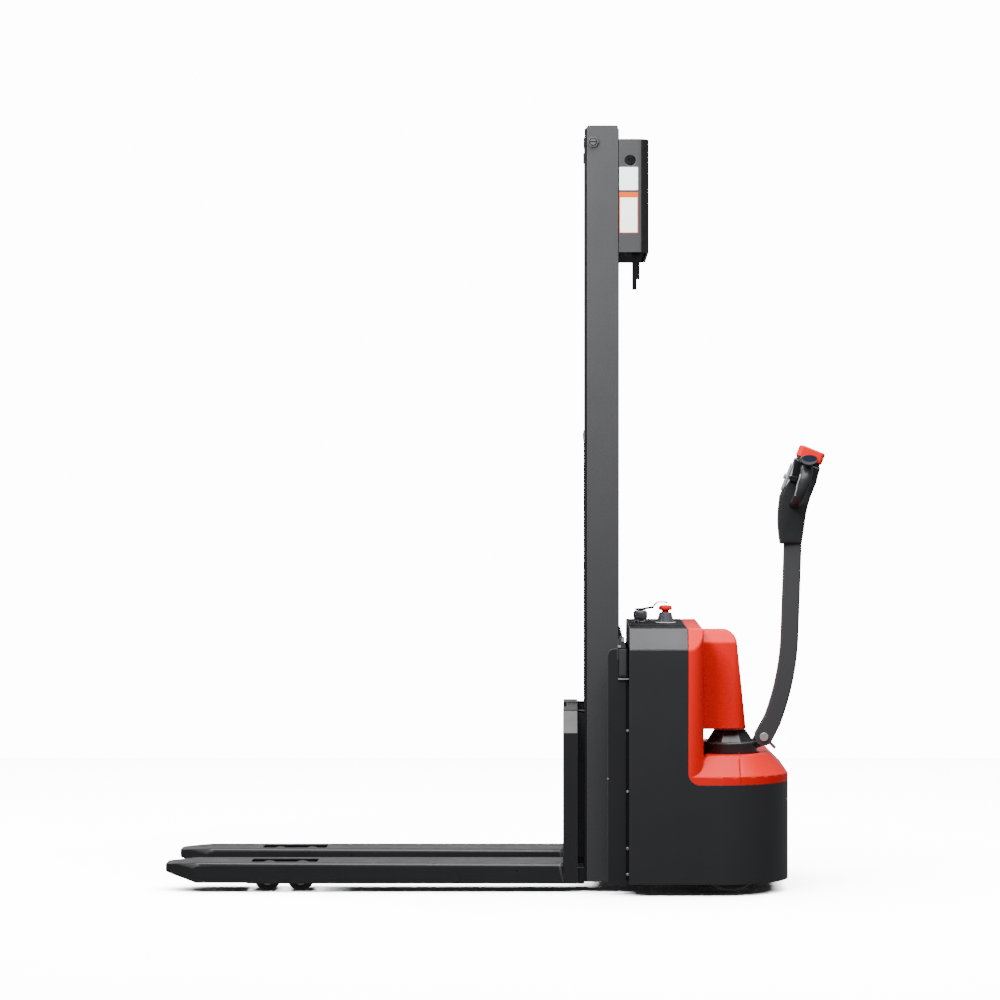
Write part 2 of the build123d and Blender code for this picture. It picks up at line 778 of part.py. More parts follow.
# Chassis: bulkhead with side flanges, battery floor, shelf and the plate of the drive unit
with BuildPart() as chassis:
    chassis_z = (mast_bottom_z, chassis_top_z)
    block((mast_rear_x, chassis_rear_x), about(0, chassis_width), chassis_z)
    for side, sign in sides:
        with BuildSketch(side_plane(sign * chassis_half)):
            flange_x = about(mast_rear_x, 2 * side_flange_reach)[0]
            with Locations(((flange_x + body_front_x) / 2, sum(chassis_z) / 2)):
                Rectangle(body_front_x - flange_x, chassis_z[1] - chassis_z[0])
            fillet(vertices().group_by(Axis.Y)[-1].sort_by(Axis.X)[0], flange_corner)
        extrude(amount=sign * side_flange)
    inner_y = about(0, 2 * inner_reach)
    floor_x = (chassis_rear_x, cover_x - sheet)
    block(floor_x, inner_y, (floor_z, floor_z + floor_plate))
    block(floor_x, inner_y, (shelf_z, shelf_z + floor_plate))
    block((cover_x - sheet - floor_plate, cover_x - sheet), inner_y, (floor_z, flange_seat_z))
    mount_x = (cover_x - sheet, rear_x - rear_corner / 3)
    block(mount_x, inner_y, (mount_plate_z, flange_seat_z))
    with BuildSketch(Plane.XY.offset(mount_plate_z)):
        with Locations((steer_x, steer_y)):
            Circle(drive_flange_d / 2 + 2 * free_gap)
    extrude(amount=mount_plate, mode=Mode.SUBTRACT)
    fillet(edges().filter_by(Axis.Z).group_by(Axis.X)[-1], rear_corner / 2)
    post_size = caster_plate_size - 2 * caster_plate
    seat_z = (caster_top_z, caster_top_z + caster_plate)
    block(about(caster_x, post_size), about(caster_y, post_size), (seat_z[1], mount_plate_z))
    block(about(caster_x, caster_plate_size), about(caster_y, caster_plate_size), seat_z)
    anchor_x = (rear_chain_x - anchor_bolt_d, mast_rear_x)
    block(anchor_x, about(0, 2 * chain_width), (fixed_anchor_z, fixed_anchor_z + anchor_plate))
    with BuildSketch(Plane((rear_chain_x, 0, fixed_anchor_z))):
        Circle(anchor_bolt_d / 2)
    extrude(amount=-anchor_bolt_length)
    with BuildSketch(Plane((rear_chain_x, 0, fixed_anchor_z))):
        RegularPolygon(anchor_nut_flats / 2, 6, major_radius=False)
    extrude(amount=-anchor_bolt_d)
save(chassis, "chassis_frame")


def body_plan(inset):
    """The body's outline from above, square in front and round behind, drawn in by inset."""
    with Locations(((body_front_x + rear_x) / 2, 0)):
        Rectangle(body_length - 2 * inset, body_width - 2 * inset)
    fillet(vertices().group_by(Axis.X)[-1], rear_corner - inset)


# Body shell: one wrapped sheet, tall in front and cut down to a round skirt behind
with BuildPart() as body_shell:
    with BuildSketch(Plane.XY.offset(body_bottom_z)):
        body_plan(0)
    extrude(amount=shoulder_z - body_bottom_z)
    with BuildSketch(side_plane(0)):
        with BuildLine():
            Polyline(
                (body_front_x, body_bottom_z),
                (body_front_x, shoulder_z),
                (cover_x, shoulder_z),
                (cover_x, skirt_top_z),
                (rear_x, skirt_top_z),
                (rear_x, body_bottom_z),
                close=True,
            )
        make_face()
        step = vertices().sort_by_distance((cover_x, skirt_top_z, 0))[0]
        fillet(step, inner_corner)
    extrude(amount=body_width, both=True, mode=Mode.INTERSECT)
    with BuildSketch(Plane.XY.offset(body_bottom_z)):
        body_plan(sheet)
    extrude(amount=shoulder_z, mode=Mode.SUBTRACT)
    opening_z = (body_bottom_z, shoulder_z)
    block((body_front_x, body_front_x + sheet), about(0, 2 * inner_reach), opening_z, mode=Mode.SUBTRACT)
save(body_shell, "body_shell")


def top_profile(low_z, inset):
    """Corners of the section across the tops of the body and the red cover, drawn in by inset."""
    return (
        (-body_half + inset, low_z),
        (-body_half + inset, shoulder_z),
        (-body_half + top_inset + inset, top_z - inset),
        (body_half - top_inset - inset, top_z - inset),
        (body_half - inset, shoulder_z),
        (body_half - inset, low_z),
    )


# Top cover, with sloping sides
with BuildPart() as top_cover:
    with BuildSketch(Plane.YZ.offset(body_front_x)):
        with BuildLine():
            Polyline(*top_profile(shoulder_z, 0)[1:-1], close=True)
        make_face()
    extrude(amount=body_depth)
    with BuildSketch(Plane.YZ.offset(body_front_x + sheet)):
        with BuildLine():
            Polyline(*top_profile(shoulder_z, sheet)[1:-1], close=True)
        make_face()
    extrude(amount=body_depth - 2 * sheet, mode=Mode.SUBTRACT)
    fillet(edges().filter_by(Axis.X).group_by(Axis.Z)[-1], sheet)
save(top_cover, "top_cover")

# Dash on the top cover, with the key switch and the emergency stop
key_x = body_front_x + key_back
stop_x = body_front_x + stop_back
dash_z = top_z + dash_thick
with BuildPart() as dash:
    with BuildSketch(Plane.XY.offset(top_z)):
        with Locations((body_front_x + body_depth / 2, 0)):
            RectangleRounded(dash_length, dash_width, front_corner)
    extrude(amount=dash_thick)
    chamfer(edges().group_by(Axis.Z)[-1], dash_thick / 3)
save(dash, "dash_panel")

with BuildPart() as key_switch:
    with BuildSketch(Plane((key_x, 0, dash_z))):
        Circle(key_collar_d / 2)
    extrude(amount=key_collar_height)
    chamfer(edges().group_by(Axis.Z)[-1], key_collar_height / 4)
    with BuildSketch(Plane((key_x, 0, dash_z + key_collar_height))):
        Circle(key_barrel_d / 2)
    extrude(amount=key_barrel_height - key_collar_height)
save(key_switch, "key_switch")

key_z = dash_z + key_barrel_height + free_gap
with BuildPart() as key:
    with BuildSketch(Plane((key_x, 0, key_z))):
        Circle(key_barrel_d / 2)
    extrude(amount=key_bow_thick)
    with BuildSketch(Plane.XZ.offset(key_bow_thick / 2)):
        with BuildLine():
            Polyline(
                (key_x, key_z),
                (key_x + key_bow_length, key_z + key_bow_thick),
                (key_x + key_bow_length, key_z + key_bow_width / 2),
                (key_x, key_z + key_bow_thick),
                close=True,
            )
        make_face()
    extrude(amount=-key_bow_thick)
save(key, "key")

stop_base_z = dash_z + stop_base_height
stop_knob_z = stop_base_z + stop_travel
with BuildPart() as stop_base:
    with BuildSketch(Plane((stop_x, 0, dash_z))):
        Circle(stop_base_d / 2)
    with BuildSketch(Plane((stop_x, 0, stop_base_z))):
        Circle(stop_base_top_d / 2)
    loft()
    with BuildSketch(Plane((stop_x, 0, stop_base_z))):
        Circle(stop_stem_d / 2 + running)
    extrude(amount=-(stop_stem_length + free_gap), mode=Mode.SUBTRACT)
save(stop_base, "emergency_stop_base")

with BuildPart() as stop_knob:
    with BuildSketch(Plane((stop_x, 0, stop_knob_z))):
        Circle(stop_knob_d / 2)
    extrude(amount=stop_knob_height)
    fillet(edges().group_by(Axis.Z)[-1], stop_knob_height / 3)
    with BuildSketch(Plane((stop_x, 0, stop_knob_z))):
        Circle(stop_stem_d / 2)
    extrude(amount=-stop_stem_length)
save(stop_knob, "emergency_stop_knob")


def wall_solid(inset):
    """The upright part of the red cover, drawn in by inset but open in front."""
    with BuildPart() as wall:
        with BuildSketch(Plane.XY.offset(skirt_top_z)):
            with Locations(((cover_x + wall_rear_x - inset) / 2, 0)):
                Rectangle(wall_depth - inset, body_width - 2 * inset)
            fillet(vertices().group_by(Axis.X)[-1], wall_corner - inset)
        extrude(amount=top_z - skirt_top_z)
        with BuildSketch(Plane.YZ.offset(cover_x)):
            with BuildLine():
                Polyline(*top_profile(skirt_top_z, inset), close=True)
            make_face()
        extrude(amount=wall_depth, mode=Mode.INTERSECT)
    return wall.part


def deck_solid(inset):
    """The low part of the red cover behind the wall: an upright lip and a bevel all round."""
    lip_z = deck_top_z - deck_bevel
    with BuildPart() as deck:
        for low_z, height, slope in (
            (skirt_top_z, lip_z - skirt_top_z, 0),
            (lip_z, deck_bevel - inset, deck_bevel_angle),
        ):
            with BuildSketch(Plane.XY.offset(low_z)):
                with Locations(((cover_x + rear_x) / 2, 0)):
                    Rectangle(rear_x - cover_x - 2 * inset, body_width - 2 * inset)
                fillet(vertices().group_by(Axis.X)[-1], rear_corner - inset)
            extrude(amount=height, taper=slope)
    return deck.part


# Motor bonnet: round behind in plan, so that the tiller can swing past it
bonnet_top_z = top_z - bonnet_top_drop
bonnet_rear_x = steer_x + bonnet_overhang
with BuildPart() as bonnet:
    with BuildSketch(Plane.XY.offset(bonnet_bottom_z)):
        with Locations(((cover_x + bonnet_rear_x) / 2, steer_y)):
            Rectangle(bonnet_rear_x - cover_x, bonnet_width)
        fillet(vertices().group_by(Axis.X)[-1], bonnet_corner)
    extrude(amount=bonnet_top_z - bonnet_bottom_z)
    with BuildSketch(side_plane(steer_y)):
        with BuildLine():
            Polyline(
                (wall_rear_x - sheet, bonnet_bottom_z),
                (wall_rear_x - sheet, bonnet_top_z),
                (bonnet_rear_x - bonnet_slope, bonnet_top_z),
                (bonnet_rear_x, bonnet_bottom_z),
                close=True,
            )
        make_face()
        top_corner = vertices().group_by(Axis.Y)[-1].sort_by(Axis.X)[-1]
        fillet(top_corner, bonnet_top_round)
    extrude(amount=bonnet_width, both=True, mode=Mode.INTERSECT)
    with BuildSketch(Plane.YZ.offset(cover_x)):
        with Locations((steer_y, (bonnet_bottom_z + bonnet_top_z) / 2)):
            Rectangle(bonnet_width, bonnet_top_z - bonnet_bottom_z)
        chamfer(vertices().group_by(Axis.Y)[-1], bonnet_bevel)
    extrude(amount=bonnet_rear_x - cover_x, mode=Mode.INTERSECT)

outer_wall = wall_solid(0)
inner_wall = wall_solid(sheet)
outer_deck = deck_solid(0)
inner_deck = deck_solid(sheet)
ring_hole = Plane((steer_x, steer_y, skirt_top_z))
ring_hole_r = ring_d / 2 + wheel_room

# Red rear cover: wall, bonnet and the front part of the deck, moulded in one. Its low front
# corner is round, as the step of the body is
with BuildPart() as rear_cover:
    add(outer_deck)
    add(outer_wall)
    add(inner_wall, mode=Mode.SUBTRACT)
    add(inner_deck, mode=Mode.SUBTRACT)
    add(bonnet.part)
    with BuildSketch(ring_hole):
        Circle(ring_hole_r)
    extrude(amount=deck_top_z - skirt_top_z, mode=Mode.SUBTRACT)
    block((seam_x, rear_x), about(0, body_width), (skirt_top_z, deck_top_z), mode=Mode.SUBTRACT)
    with BuildSketch(side_plane(0)):
        with Locations((cover_x + inner_corner, skirt_top_z + inner_corner)):
            Rectangle(inner_corner, inner_corner, align=(Align.MAX, Align.MAX))
            Circle(inner_corner, mode=Mode.SUBTRACT)
    extrude(amount=body_width, both=True, mode=Mode.SUBTRACT)
save(rear_cover, "rear_cover")

with BuildPart() as deck_cover:
    add(outer_deck)
    add(inner_deck, mode=Mode.SUBTRACT)
    with BuildSketch(ring_hole):
        Circle(ring_hole_r)
    extrude(amount=deck_top_z - skirt_top_z, mode=Mode.SUBTRACT)
    front_part = (cover_x, seam_x + panel_gap)
    block(front_part, about(0, body_width), (skirt_top_z, deck_top_z), mode=Mode.SUBTRACT)
save(deck_cover, "rear_deck_cover")

# Steered drive unit
steer_axis = Plane((steer_x, steer_y, flange_seat_z))
with BuildPart() as slew_ring:
    with BuildSketch(steer_axis):
        Circle(drive_flange_d / 2 + slew_ring_width)
        Circle(drive_flange_d / 2 + running, mode=Mode.SUBTRACT)
    extrude(amount=slew_ring_height)
save(slew_ring, "slewing_ring")

gearbox_y = steer_y + drive_wheel_width / 2 + gearbox_gap
flange_top = flange_seat_z + slew_ring_height
with BuildPart() as gearbox:
    with BuildSketch(Plane((steer_x, steer_y, flange_top))):
        Circle(drive_flange_d / 2)
    extrude(amount=-drive_flange_height)
    with BuildSketch(side_plane(gearbox_y)):
        with Locations((steer_x, drive_wheel_r)):
            Circle(gearbox_round)
        gear_top_z = flange_top - drive_flange_height
        with Locations((steer_x, (drive_wheel_r + gear_top_z) / 2)):
            Rectangle(gearbox_neck, gear_top_z - drive_wheel_r)
    extrude(amount=-gearbox_width)
    shaft_y = (gearbox_y, gearbox_y + drive_shaft_reach + free_gap)
    shaft_bore = drive_shaft_d + 2 * running
    cross_bar(steer_x, shaft_y, drive_wheel_r, shaft_bore, mode=Mode.SUBTRACT)
save(gearbox, "drive_gearbox")

with BuildPart() as drive_hub:
    hub_y = about(steer_y, drive_wheel_width)
    cross_bar(steer_x, hub_y, drive_wheel_r, drive_hub_d)
    dish_y = (hub_y[0], hub_y[0] + drive_wheel_width / 3)
    cross_bar(steer_x, dish_y, drive_wheel_r, drive_dish_d, mode=Mode.SUBTRACT)
    cross_bar(steer_x, (hub_y[1], gearbox_y + drive_shaft_reach), drive_wheel_r, drive_shaft_d)
    with BuildSketch(side_plane(hub_y[0] + drive_wheel_width / 3)):
        with Locations((steer_x, drive_wheel_r)):
            with PolarLocations(drive_bolt_ring_d / 2, drive_bolts):
                RegularPolygon(stop_bolt_d / 2, 6)
    extrude(amount=stop_nut_height)
save(drive_hub, "drive_wheel_hub")

with BuildPart() as drive_tyre:
    cross_bar(steer_x, hub_y, drive_wheel_r, drive_wheel_d)
    fillet(edges().filter_by(GeomType.CIRCLE), load_wheel_edge)
    cross_bar(steer_x, hub_y, drive_wheel_r, drive_hub_d, mode=Mode.SUBTRACT)
save(drive_tyre, "drive_tyre")

with BuildPart() as drive_motor:
    with BuildSketch(Plane((steer_x, steer_y, flange_top))):
        Circle(motor_d / 2)
    extrude(amount=motor_height)
save(drive_motor, "drive_motor")

# Tiller base: ring and cone over the motor, with a tongue that carries the tiller's pivot and,
# in a flat below it, the stop screw
screw_seat = (tongue_round - stop_screw_d / 2) * sin(radians(45))
screw_plane = Plane(origin=(pivot_x + screw_seat, steer_y, pivot_z - screw_seat), z_dir=(1, 0, -1))
with BuildPart() as tiller_base:
    with BuildSketch(Plane((steer_x, steer_y, flange_top))):
        Circle(ring_d / 2)
    extrude(amount=ring_top_z - flange_top)
    chamfer(edges().group_by(Axis.Z)[-1], ring_wall / 4)
    with BuildSketch(Plane((steer_x, steer_y, ring_top_z))):
        RegularPolygon(cone_base_d / 2, cone_sides, rotation=180 / cone_sides)
    with BuildSketch(Plane((steer_x, steer_y, ring_top_z + cone_height))):
        RegularPolygon(cone_top_d / 2, cone_sides, rotation=180 / cone_sides)
    loft()
    with BuildSketch(side_plane(steer_y)):
        with Locations((pivot_x, pivot_z)):
            Circle(tongue_round)
        foot_x = steer_x + ring_d / 2 - ring_wall
        with Locations((foot_x, (tongue_foot_z + ring_top_z) / 2)):
            Rectangle(ring_wall, ring_top_z - tongue_foot_z - ring_wall / 2)
        make_hull()
    extrude(amount=tongue_width / 2, both=True)
    with BuildSketch(Plane((steer_x, steer_y, flange_top))):
        Circle(motor_d / 2 + free_gap)
    extrude(amount=motor_height + free_gap, mode=Mode.SUBTRACT)
    pivot_y = about(steer_y, tongue_width)
    cross_bar(pivot_x, pivot_y, pivot_z, pivot_pin_d, mode=Mode.SUBTRACT)
    with BuildSketch(screw_plane):
        Rectangle(2 * tongue_width, 2 * tongue_width)
    extrude(amount=tongue_round, mode=Mode.SUBTRACT)
save(tiller_base, "tiller_base")

ear_y = tongue_width / 2 + free_gap
with BuildPart() as tiller_pins:
    pin_y = about(steer_y, 2 * (ear_y + ear_thick + free_gap))
    cross_bar(pivot_x, pin_y, pivot_z, pivot_pin_d)
    for head_y in (pin_y[0] - pin_head, pin_y[1]):
        cross_bar(pivot_x, (head_y, head_y + pin_head), pivot_z, pin_head_d)
    with BuildSketch(screw_plane):
        Circle(stop_screw_d / 2)
    extrude(amount=stop_screw_length)
    with BuildSketch(screw_plane):
        RegularPolygon(stop_screw_flats / 2, 6, major_radius=False)
    extrude(amount=stop_screw_nut)
save(tiller_pins, "tiller_pins")

# Tiller arm: a bent square tube on two ears
arm_foot_x = pivot_x + arm_foot_reach
arm_foot_z = pivot_z + arm_foot_rise
arm_y_width = 2 * (ear_y + ear_thick)
foot_dir = (sin(radians(arm_foot_lean)), cos(radians(arm_foot_lean)))
arm_start = Plane(
    origin=(arm_foot_x, steer_y, arm_foot_z),
    x_dir=(0, 1, 0),
    z_dir=(foot_dir[0], 0, foot_dir[1]),
)
with BuildPart() as arm:
    with BuildLine(side_plane(steer_y)):
        bend = JernArc((arm_foot_x, arm_foot_z), foot_dir, arm_bend_r, arm_bend_angle)
        run = (arm_top_z - (bend @ 1).Z) / (bend % 1).Z
        Line(bend @ 1, bend @ 1 + (bend % 1) * run)
    with BuildSketch(arm_start):
        RectangleRounded(arm_y_width, arm_width, arm_corner)
    sweep()
    for side, sign in sides:
        with BuildSketch(side_plane(steer_y + sign * ear_y)):
            with Locations((pivot_x, pivot_z)):
                Circle(ear_round)
            with Locations(Location((arm_foot_x, arm_foot_z), -arm_foot_lean)):
                Rectangle(arm_width, arm_corner)
            make_hull()
        extrude(amount=-sign * ear_thick)
    bore_d = pivot_pin_d + 2 * running
    cross_bar(pivot_x, about(steer_y, arm_y_width), pivot_z, bore_d, mode=Mode.SUBTRACT)
save(arm, "tiller_arm")

# Tiller head: a moulded core on the arm, with a grip loop on each side
head_front_x = pivot_x + head_reach
front_mid = (head_front_x, head_foot_z + neck_rise)
front_high = (head_front_x + head_lean_in, head_foot_z + head_rise)
cap_lean = Vector(sin(radians(cap_tilt)), 0, cos(radians(cap_tilt)))
cap_along = Vector(cos(radians(cap_tilt)), 0, -sin(radians(cap_tilt)))
rear_high = (front_high[0] + head_depth_top * cap_along.X, front_high[1] + head_depth_top * cap_along.Z)
rear_mid = (head_front_x + head_depth_mid, head_foot_z + neck_rise - head_depth_mid / 4)
rear_low = (head_front_x + head_depth_foot, head_foot_z)
cap_middle = Vector((front_high[0] + rear_high[0]) / 2, steer_y, (front_high[1] + rear_high[1]) / 2)
cap_plane = Plane(origin=cap_middle, x_dir=cap_along, z_dir=cap_lean)

# The loops lie in one leaning plane, with local X along Y and local Y up the head
loop_middle = (head_front_x + loop_back, steer_y, head_foot_z + loop_rise)
loop_normal = Vector(cos(radians(loop_tilt)), 0, -sin(radians(loop_tilt)))
loop_plane = Plane(origin=loop_middle, x_dir=(0, 1, 0), z_dir=loop_normal)
loop_half = loop_height / 2
loop_side = loop_reach - loop_thick / 2
with BuildPart() as grip_loops:
    for side, sign in sides:
        with BuildLine(loop_plane):
            FilletPolyline(
                (0, loop_half),
                (sign * loop_side, loop_half),
                (sign * loop_side, -loop_half + loop_corner / 2),
                (0, -loop_half),
                radius=loop_corner,
            )
        bar_start = loop_plane.from_local_coords((0, loop_half, 0))
        with BuildSketch(Plane(origin=bar_start, x_dir=loop_normal, z_dir=(0, sign, 0))):
            Ellipse(loop_depth / 2, loop_thick / 2)
        sweep()

throttle_at = loop_plane.from_local_coords((0, throttle_up, -throttle_forward))
face_dir = Vector(front_high[0] - front_mid[0], 0, front_high[1] - front_mid[1]).normalized()
face_normal = Vector(-face_dir.Z, 0, face_dir.X)
face_middle = Vector((front_mid[0] + front_high[0]) / 2, steer_y, (front_mid[1] + front_high[1]) / 2)
panel_plane = Plane(origin=face_middle, x_dir=(0, 1, 0), z_dir=face_normal)

with BuildPart() as tiller_head:
    with BuildSketch(side_plane(steer_y)):
        with BuildLine():
            Polyline(
                (head_front_x, head_foot_z),
                front_mid,
                front_high,
                rear_high,
                rear_mid,
                rear_low,
                close=True,
            )
        make_face()
    extrude(amount=head_width / 2, both=True)
    outer_edges = edges().group_by(Axis.Y)
    fillet(outer_edges[0] + outer_edges[-1], head_edge)
    add(grip_loops.part)
    with BuildSketch(cap_plane):
        Rectangle(head_depth_top - 2 * cap_wall, head_width - 2 * cap_wall)
    extrude(amount=cap_boss)
    add(arm.part, mode=Mode.SUBTRACT)
    throttle_bore = throttle_d + 2 * running
    bore_span = about(steer_y, head_width)
    cross_bar(throttle_at.X, bore_span, throttle_at.Z, throttle_bore, mode=Mode.SUBTRACT)
save(tiller_head, "tiller_head")

with BuildPart() as belly_button:
    rim = belly_travel + free_gap
    with BuildSketch(cap_plane.offset(rim)):
        RectangleRounded(head_depth_top, head_width + cap_wall, cap_corner)
    extrude(amount=cap_height)
    fillet(edges().filter_by(Plane((0, 0, 0), z_dir=cap_lean)).sort_by(Axis.Z)[-8:], cap_corner / 2)
    with BuildSketch(cap_plane.offset(rim)):
        room = 2 * (cap_wall - free_gap)
        Rectangle(head_depth_top - room, head_width - room)
    extrude(amount=cap_boss, mode=Mode.SUBTRACT)
save(belly_button, "belly_button")

# Throttle: one shaft through the head with a paddle at each end
with BuildPart() as throttle:
    paddle_y = head_width / 2 + throttle_paddle_gap
    shaft_reach = about(steer_y, 2 * (paddle_y + throttle_paddle_width / 2))
    cross_bar(throttle_at.X, shaft_reach, throttle_at.Z, throttle_d)
    for side, sign in sides:
        with BuildSketch(side_plane(steer_y + sign * paddle_y)):
            with Locations(Location((throttle_at.X, throttle_at.Z), -loop_tilt)):
                SlotOverall(throttle_paddle, throttle_paddle_thick)
        extrude(amount=-sign * throttle_paddle_width)
save(throttle, "throttle_paddles")

# Control panel on the head's front face, with three buttons in it
button_names = ("lower_button", "horn_button", "lift_button")
with BuildPart() as panel:
    with BuildSketch(panel_plane):
        RectangleRounded(panel_width, panel_height, panel_corner)
        with GridLocations(button_pitch, 0, len(button_names), 1):
            Circle(button_d / 2 + free_gap, mode=Mode.SUBTRACT)
    extrude(amount=panel_thick)
save(panel, "control_panel")

for index, name in enumerate(button_names):
    with BuildPart() as button:
        with BuildSketch(panel_plane.offset(button_travel + free_gap)):
            with Locations(((index - 1) * button_pitch, 0)):
                Circle(button_d / 2)
        extrude(amount=panel_thick + button_height - button_travel - free_gap)
    save(button, name)

# Side caster under the mount plate, on the operator's right
cheek_in = caster_wheel_width / 2 + caster_room / 2
with BuildPart() as caster_fork:
    with BuildSketch(Plane((caster_x, caster_y, caster_top_z - free_gap))):
        Circle(caster_head_d / 2)
    extrude(amount=-(caster_head_height - free_gap))
    crown_z = caster_wheel_d + caster_room
    for side, sign in sides:
        with BuildSketch(side_plane(caster_y + sign * cheek_in)):
            with Locations((caster_axle_x, caster_r)):
                Circle(caster_axle_d)
            with Locations((caster_x, crown_z - caster_cheek / 2)):
                Rectangle(caster_head_d, caster_cheek)
            make_hull()
        extrude(amount=-sign * caster_cheek)
    crown_y = about(caster_y, 2 * (cheek_in + caster_cheek))
    block(about(caster_x, caster_head_d), crown_y, (crown_z - free_gap, crown_z + caster_cheek))
    cross_bar(caster_axle_x, crown_y, caster_r, caster_axle_d)
save(caster_fork, "caster_fork")

caster_span = about(caster_y, caster_wheel_width)
with BuildPart() as caster_wheel:
    cross_bar(caster_axle_x, caster_span, caster_r, caster_wheel_d)
    fillet(edges().filter_by(GeomType.CIRCLE), load_wheel_edge)
    for face_y in (caster_span[0] + hub_recess / 2, caster_span[1] - hub_recess / 2):
        recess = about(face_y, hub_recess)
        cross_bar(caster_axle_x, recess, caster_r, caster_hub_d, mode=Mode.SUBTRACT)
    bore_d = caster_axle_d + 2 * running
    cross_bar(caster_axle_x, caster_span, caster_r, bore_d, mode=Mode.SUBTRACT)
save(caster_wheel, "caster_wheel")

# Batteries on the floor; hydraulic tank, pump motor and controller on the shelf
bay_x = about((chassis_rear_x + cover_x - sheet - floor_plate) / 2, battery_depth)
with BuildPart() as batteries:
    for side, sign in sides:
        battery_y = sorted((sign * battery_gap / 2, sign * (battery_gap / 2 + battery_width)))
        battery_z = floor_z + floor_plate
        block(bay_x, battery_y, (battery_z, battery_z + battery_height))
    fillet(edges().filter_by(Axis.Z), battery_gap / 2)
save(batteries, "batteries")

tray_z = shelf_z + floor_plate
bay_mid_x = sum(bay_x) / 2
tank_y = (-inner_reach + battery_gap, -inner_reach + battery_gap + tank_width)
with BuildPart() as hydraulic_unit:
    block(about(bay_mid_x, tank_depth), tank_y, (tray_z, tray_z + tank_height))
    fillet(edges().filter_by(Axis.Z), battery_gap)
    cross_bar(bay_mid_x, (tank_y[1], tank_y[1] + pump_length), tray_z + tank_height / 2, pump_d)
save(hydraulic_unit, "hydraulic_unit")

with BuildPart() as controller:
    controller_y = (inner_reach - controller_width, inner_reach)
    block(about(bay_mid_x, tank_depth), controller_y, (tray_z, tray_z + controller_height))
save(controller, "motor_controller")

# Latches and screws on the chassis flanges
with BuildPart() as flange_fittings:
    for side, sign in sides:
        latch_y = sorted((sign * chassis_half, sign * (chassis_half + latch_thick)))
        latch_top = chassis_top_z - latch_drop
        block((body_front_x - latch_width, body_front_x), latch_y, (latch_top - latch_height, latch_top))
    for side, sign in sides:
        for screw_z in screw_heights:
            head_y = sorted((sign * chassis_half, sign * (chassis_half + screw_head)))
            cross_bar(body_front_x - screw_d, head_y, screw_z, screw_d)
save(flange_fittings, "flange_fittings")
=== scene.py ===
import json
from math import cos, pi, radians, sin, tau

import bmesh
import bpy
from mathutils import Matrix, Vector


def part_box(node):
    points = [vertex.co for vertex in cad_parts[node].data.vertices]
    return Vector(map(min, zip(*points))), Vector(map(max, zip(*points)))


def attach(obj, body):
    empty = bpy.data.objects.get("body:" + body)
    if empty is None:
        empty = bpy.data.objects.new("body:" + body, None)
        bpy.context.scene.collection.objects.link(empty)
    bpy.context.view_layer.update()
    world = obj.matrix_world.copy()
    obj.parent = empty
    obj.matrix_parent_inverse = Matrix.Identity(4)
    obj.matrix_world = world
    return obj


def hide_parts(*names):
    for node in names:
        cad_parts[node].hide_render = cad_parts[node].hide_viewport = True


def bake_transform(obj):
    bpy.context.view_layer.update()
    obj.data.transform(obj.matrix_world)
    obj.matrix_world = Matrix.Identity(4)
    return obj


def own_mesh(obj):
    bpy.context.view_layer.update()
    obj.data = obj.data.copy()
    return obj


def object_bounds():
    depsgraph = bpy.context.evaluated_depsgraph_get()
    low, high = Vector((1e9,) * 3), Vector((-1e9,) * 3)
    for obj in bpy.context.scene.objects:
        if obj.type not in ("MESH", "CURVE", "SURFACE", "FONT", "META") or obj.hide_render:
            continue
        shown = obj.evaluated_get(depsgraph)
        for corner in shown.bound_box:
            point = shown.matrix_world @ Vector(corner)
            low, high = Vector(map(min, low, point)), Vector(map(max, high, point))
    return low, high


# Looks of a walk-behind mini pallet stacker. Metres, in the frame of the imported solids.

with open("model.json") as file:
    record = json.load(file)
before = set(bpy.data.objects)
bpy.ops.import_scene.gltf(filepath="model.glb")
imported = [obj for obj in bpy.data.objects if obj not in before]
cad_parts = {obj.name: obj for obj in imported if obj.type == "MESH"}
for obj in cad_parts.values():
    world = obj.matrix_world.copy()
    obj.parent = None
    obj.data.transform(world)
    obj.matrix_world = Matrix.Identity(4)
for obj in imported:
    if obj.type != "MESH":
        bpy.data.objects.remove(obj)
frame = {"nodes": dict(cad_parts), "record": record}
cad_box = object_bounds()
nodes = frame["nodes"]
scene = bpy.context.scene


# Materials

def linear(colour):
    """An sRGB hex colour as linear red, green, blue and a full alpha."""
    parts = [int(colour[i:i + 2], 16) / 255 for i in (1, 3, 5)]
    return [p / 12.92 if p <= 0.04045 else ((p + 0.055) / 1.055) ** 2.4 for p in parts] + [1.0]


def add(tree, kind, sockets=None, **settings):
    """Add one node with its settings; a socket takes a plain value or another node's output."""
    node = tree.nodes.new(kind)
    for key, value in settings.items():
        setattr(node, key, value)
    for name, value in (sockets or {}).items():
        if isinstance(value, bpy.types.NodeSocket):
            tree.links.new(value, node.inputs[name])
        else:
            node.inputs[name].default_value = value
    return node


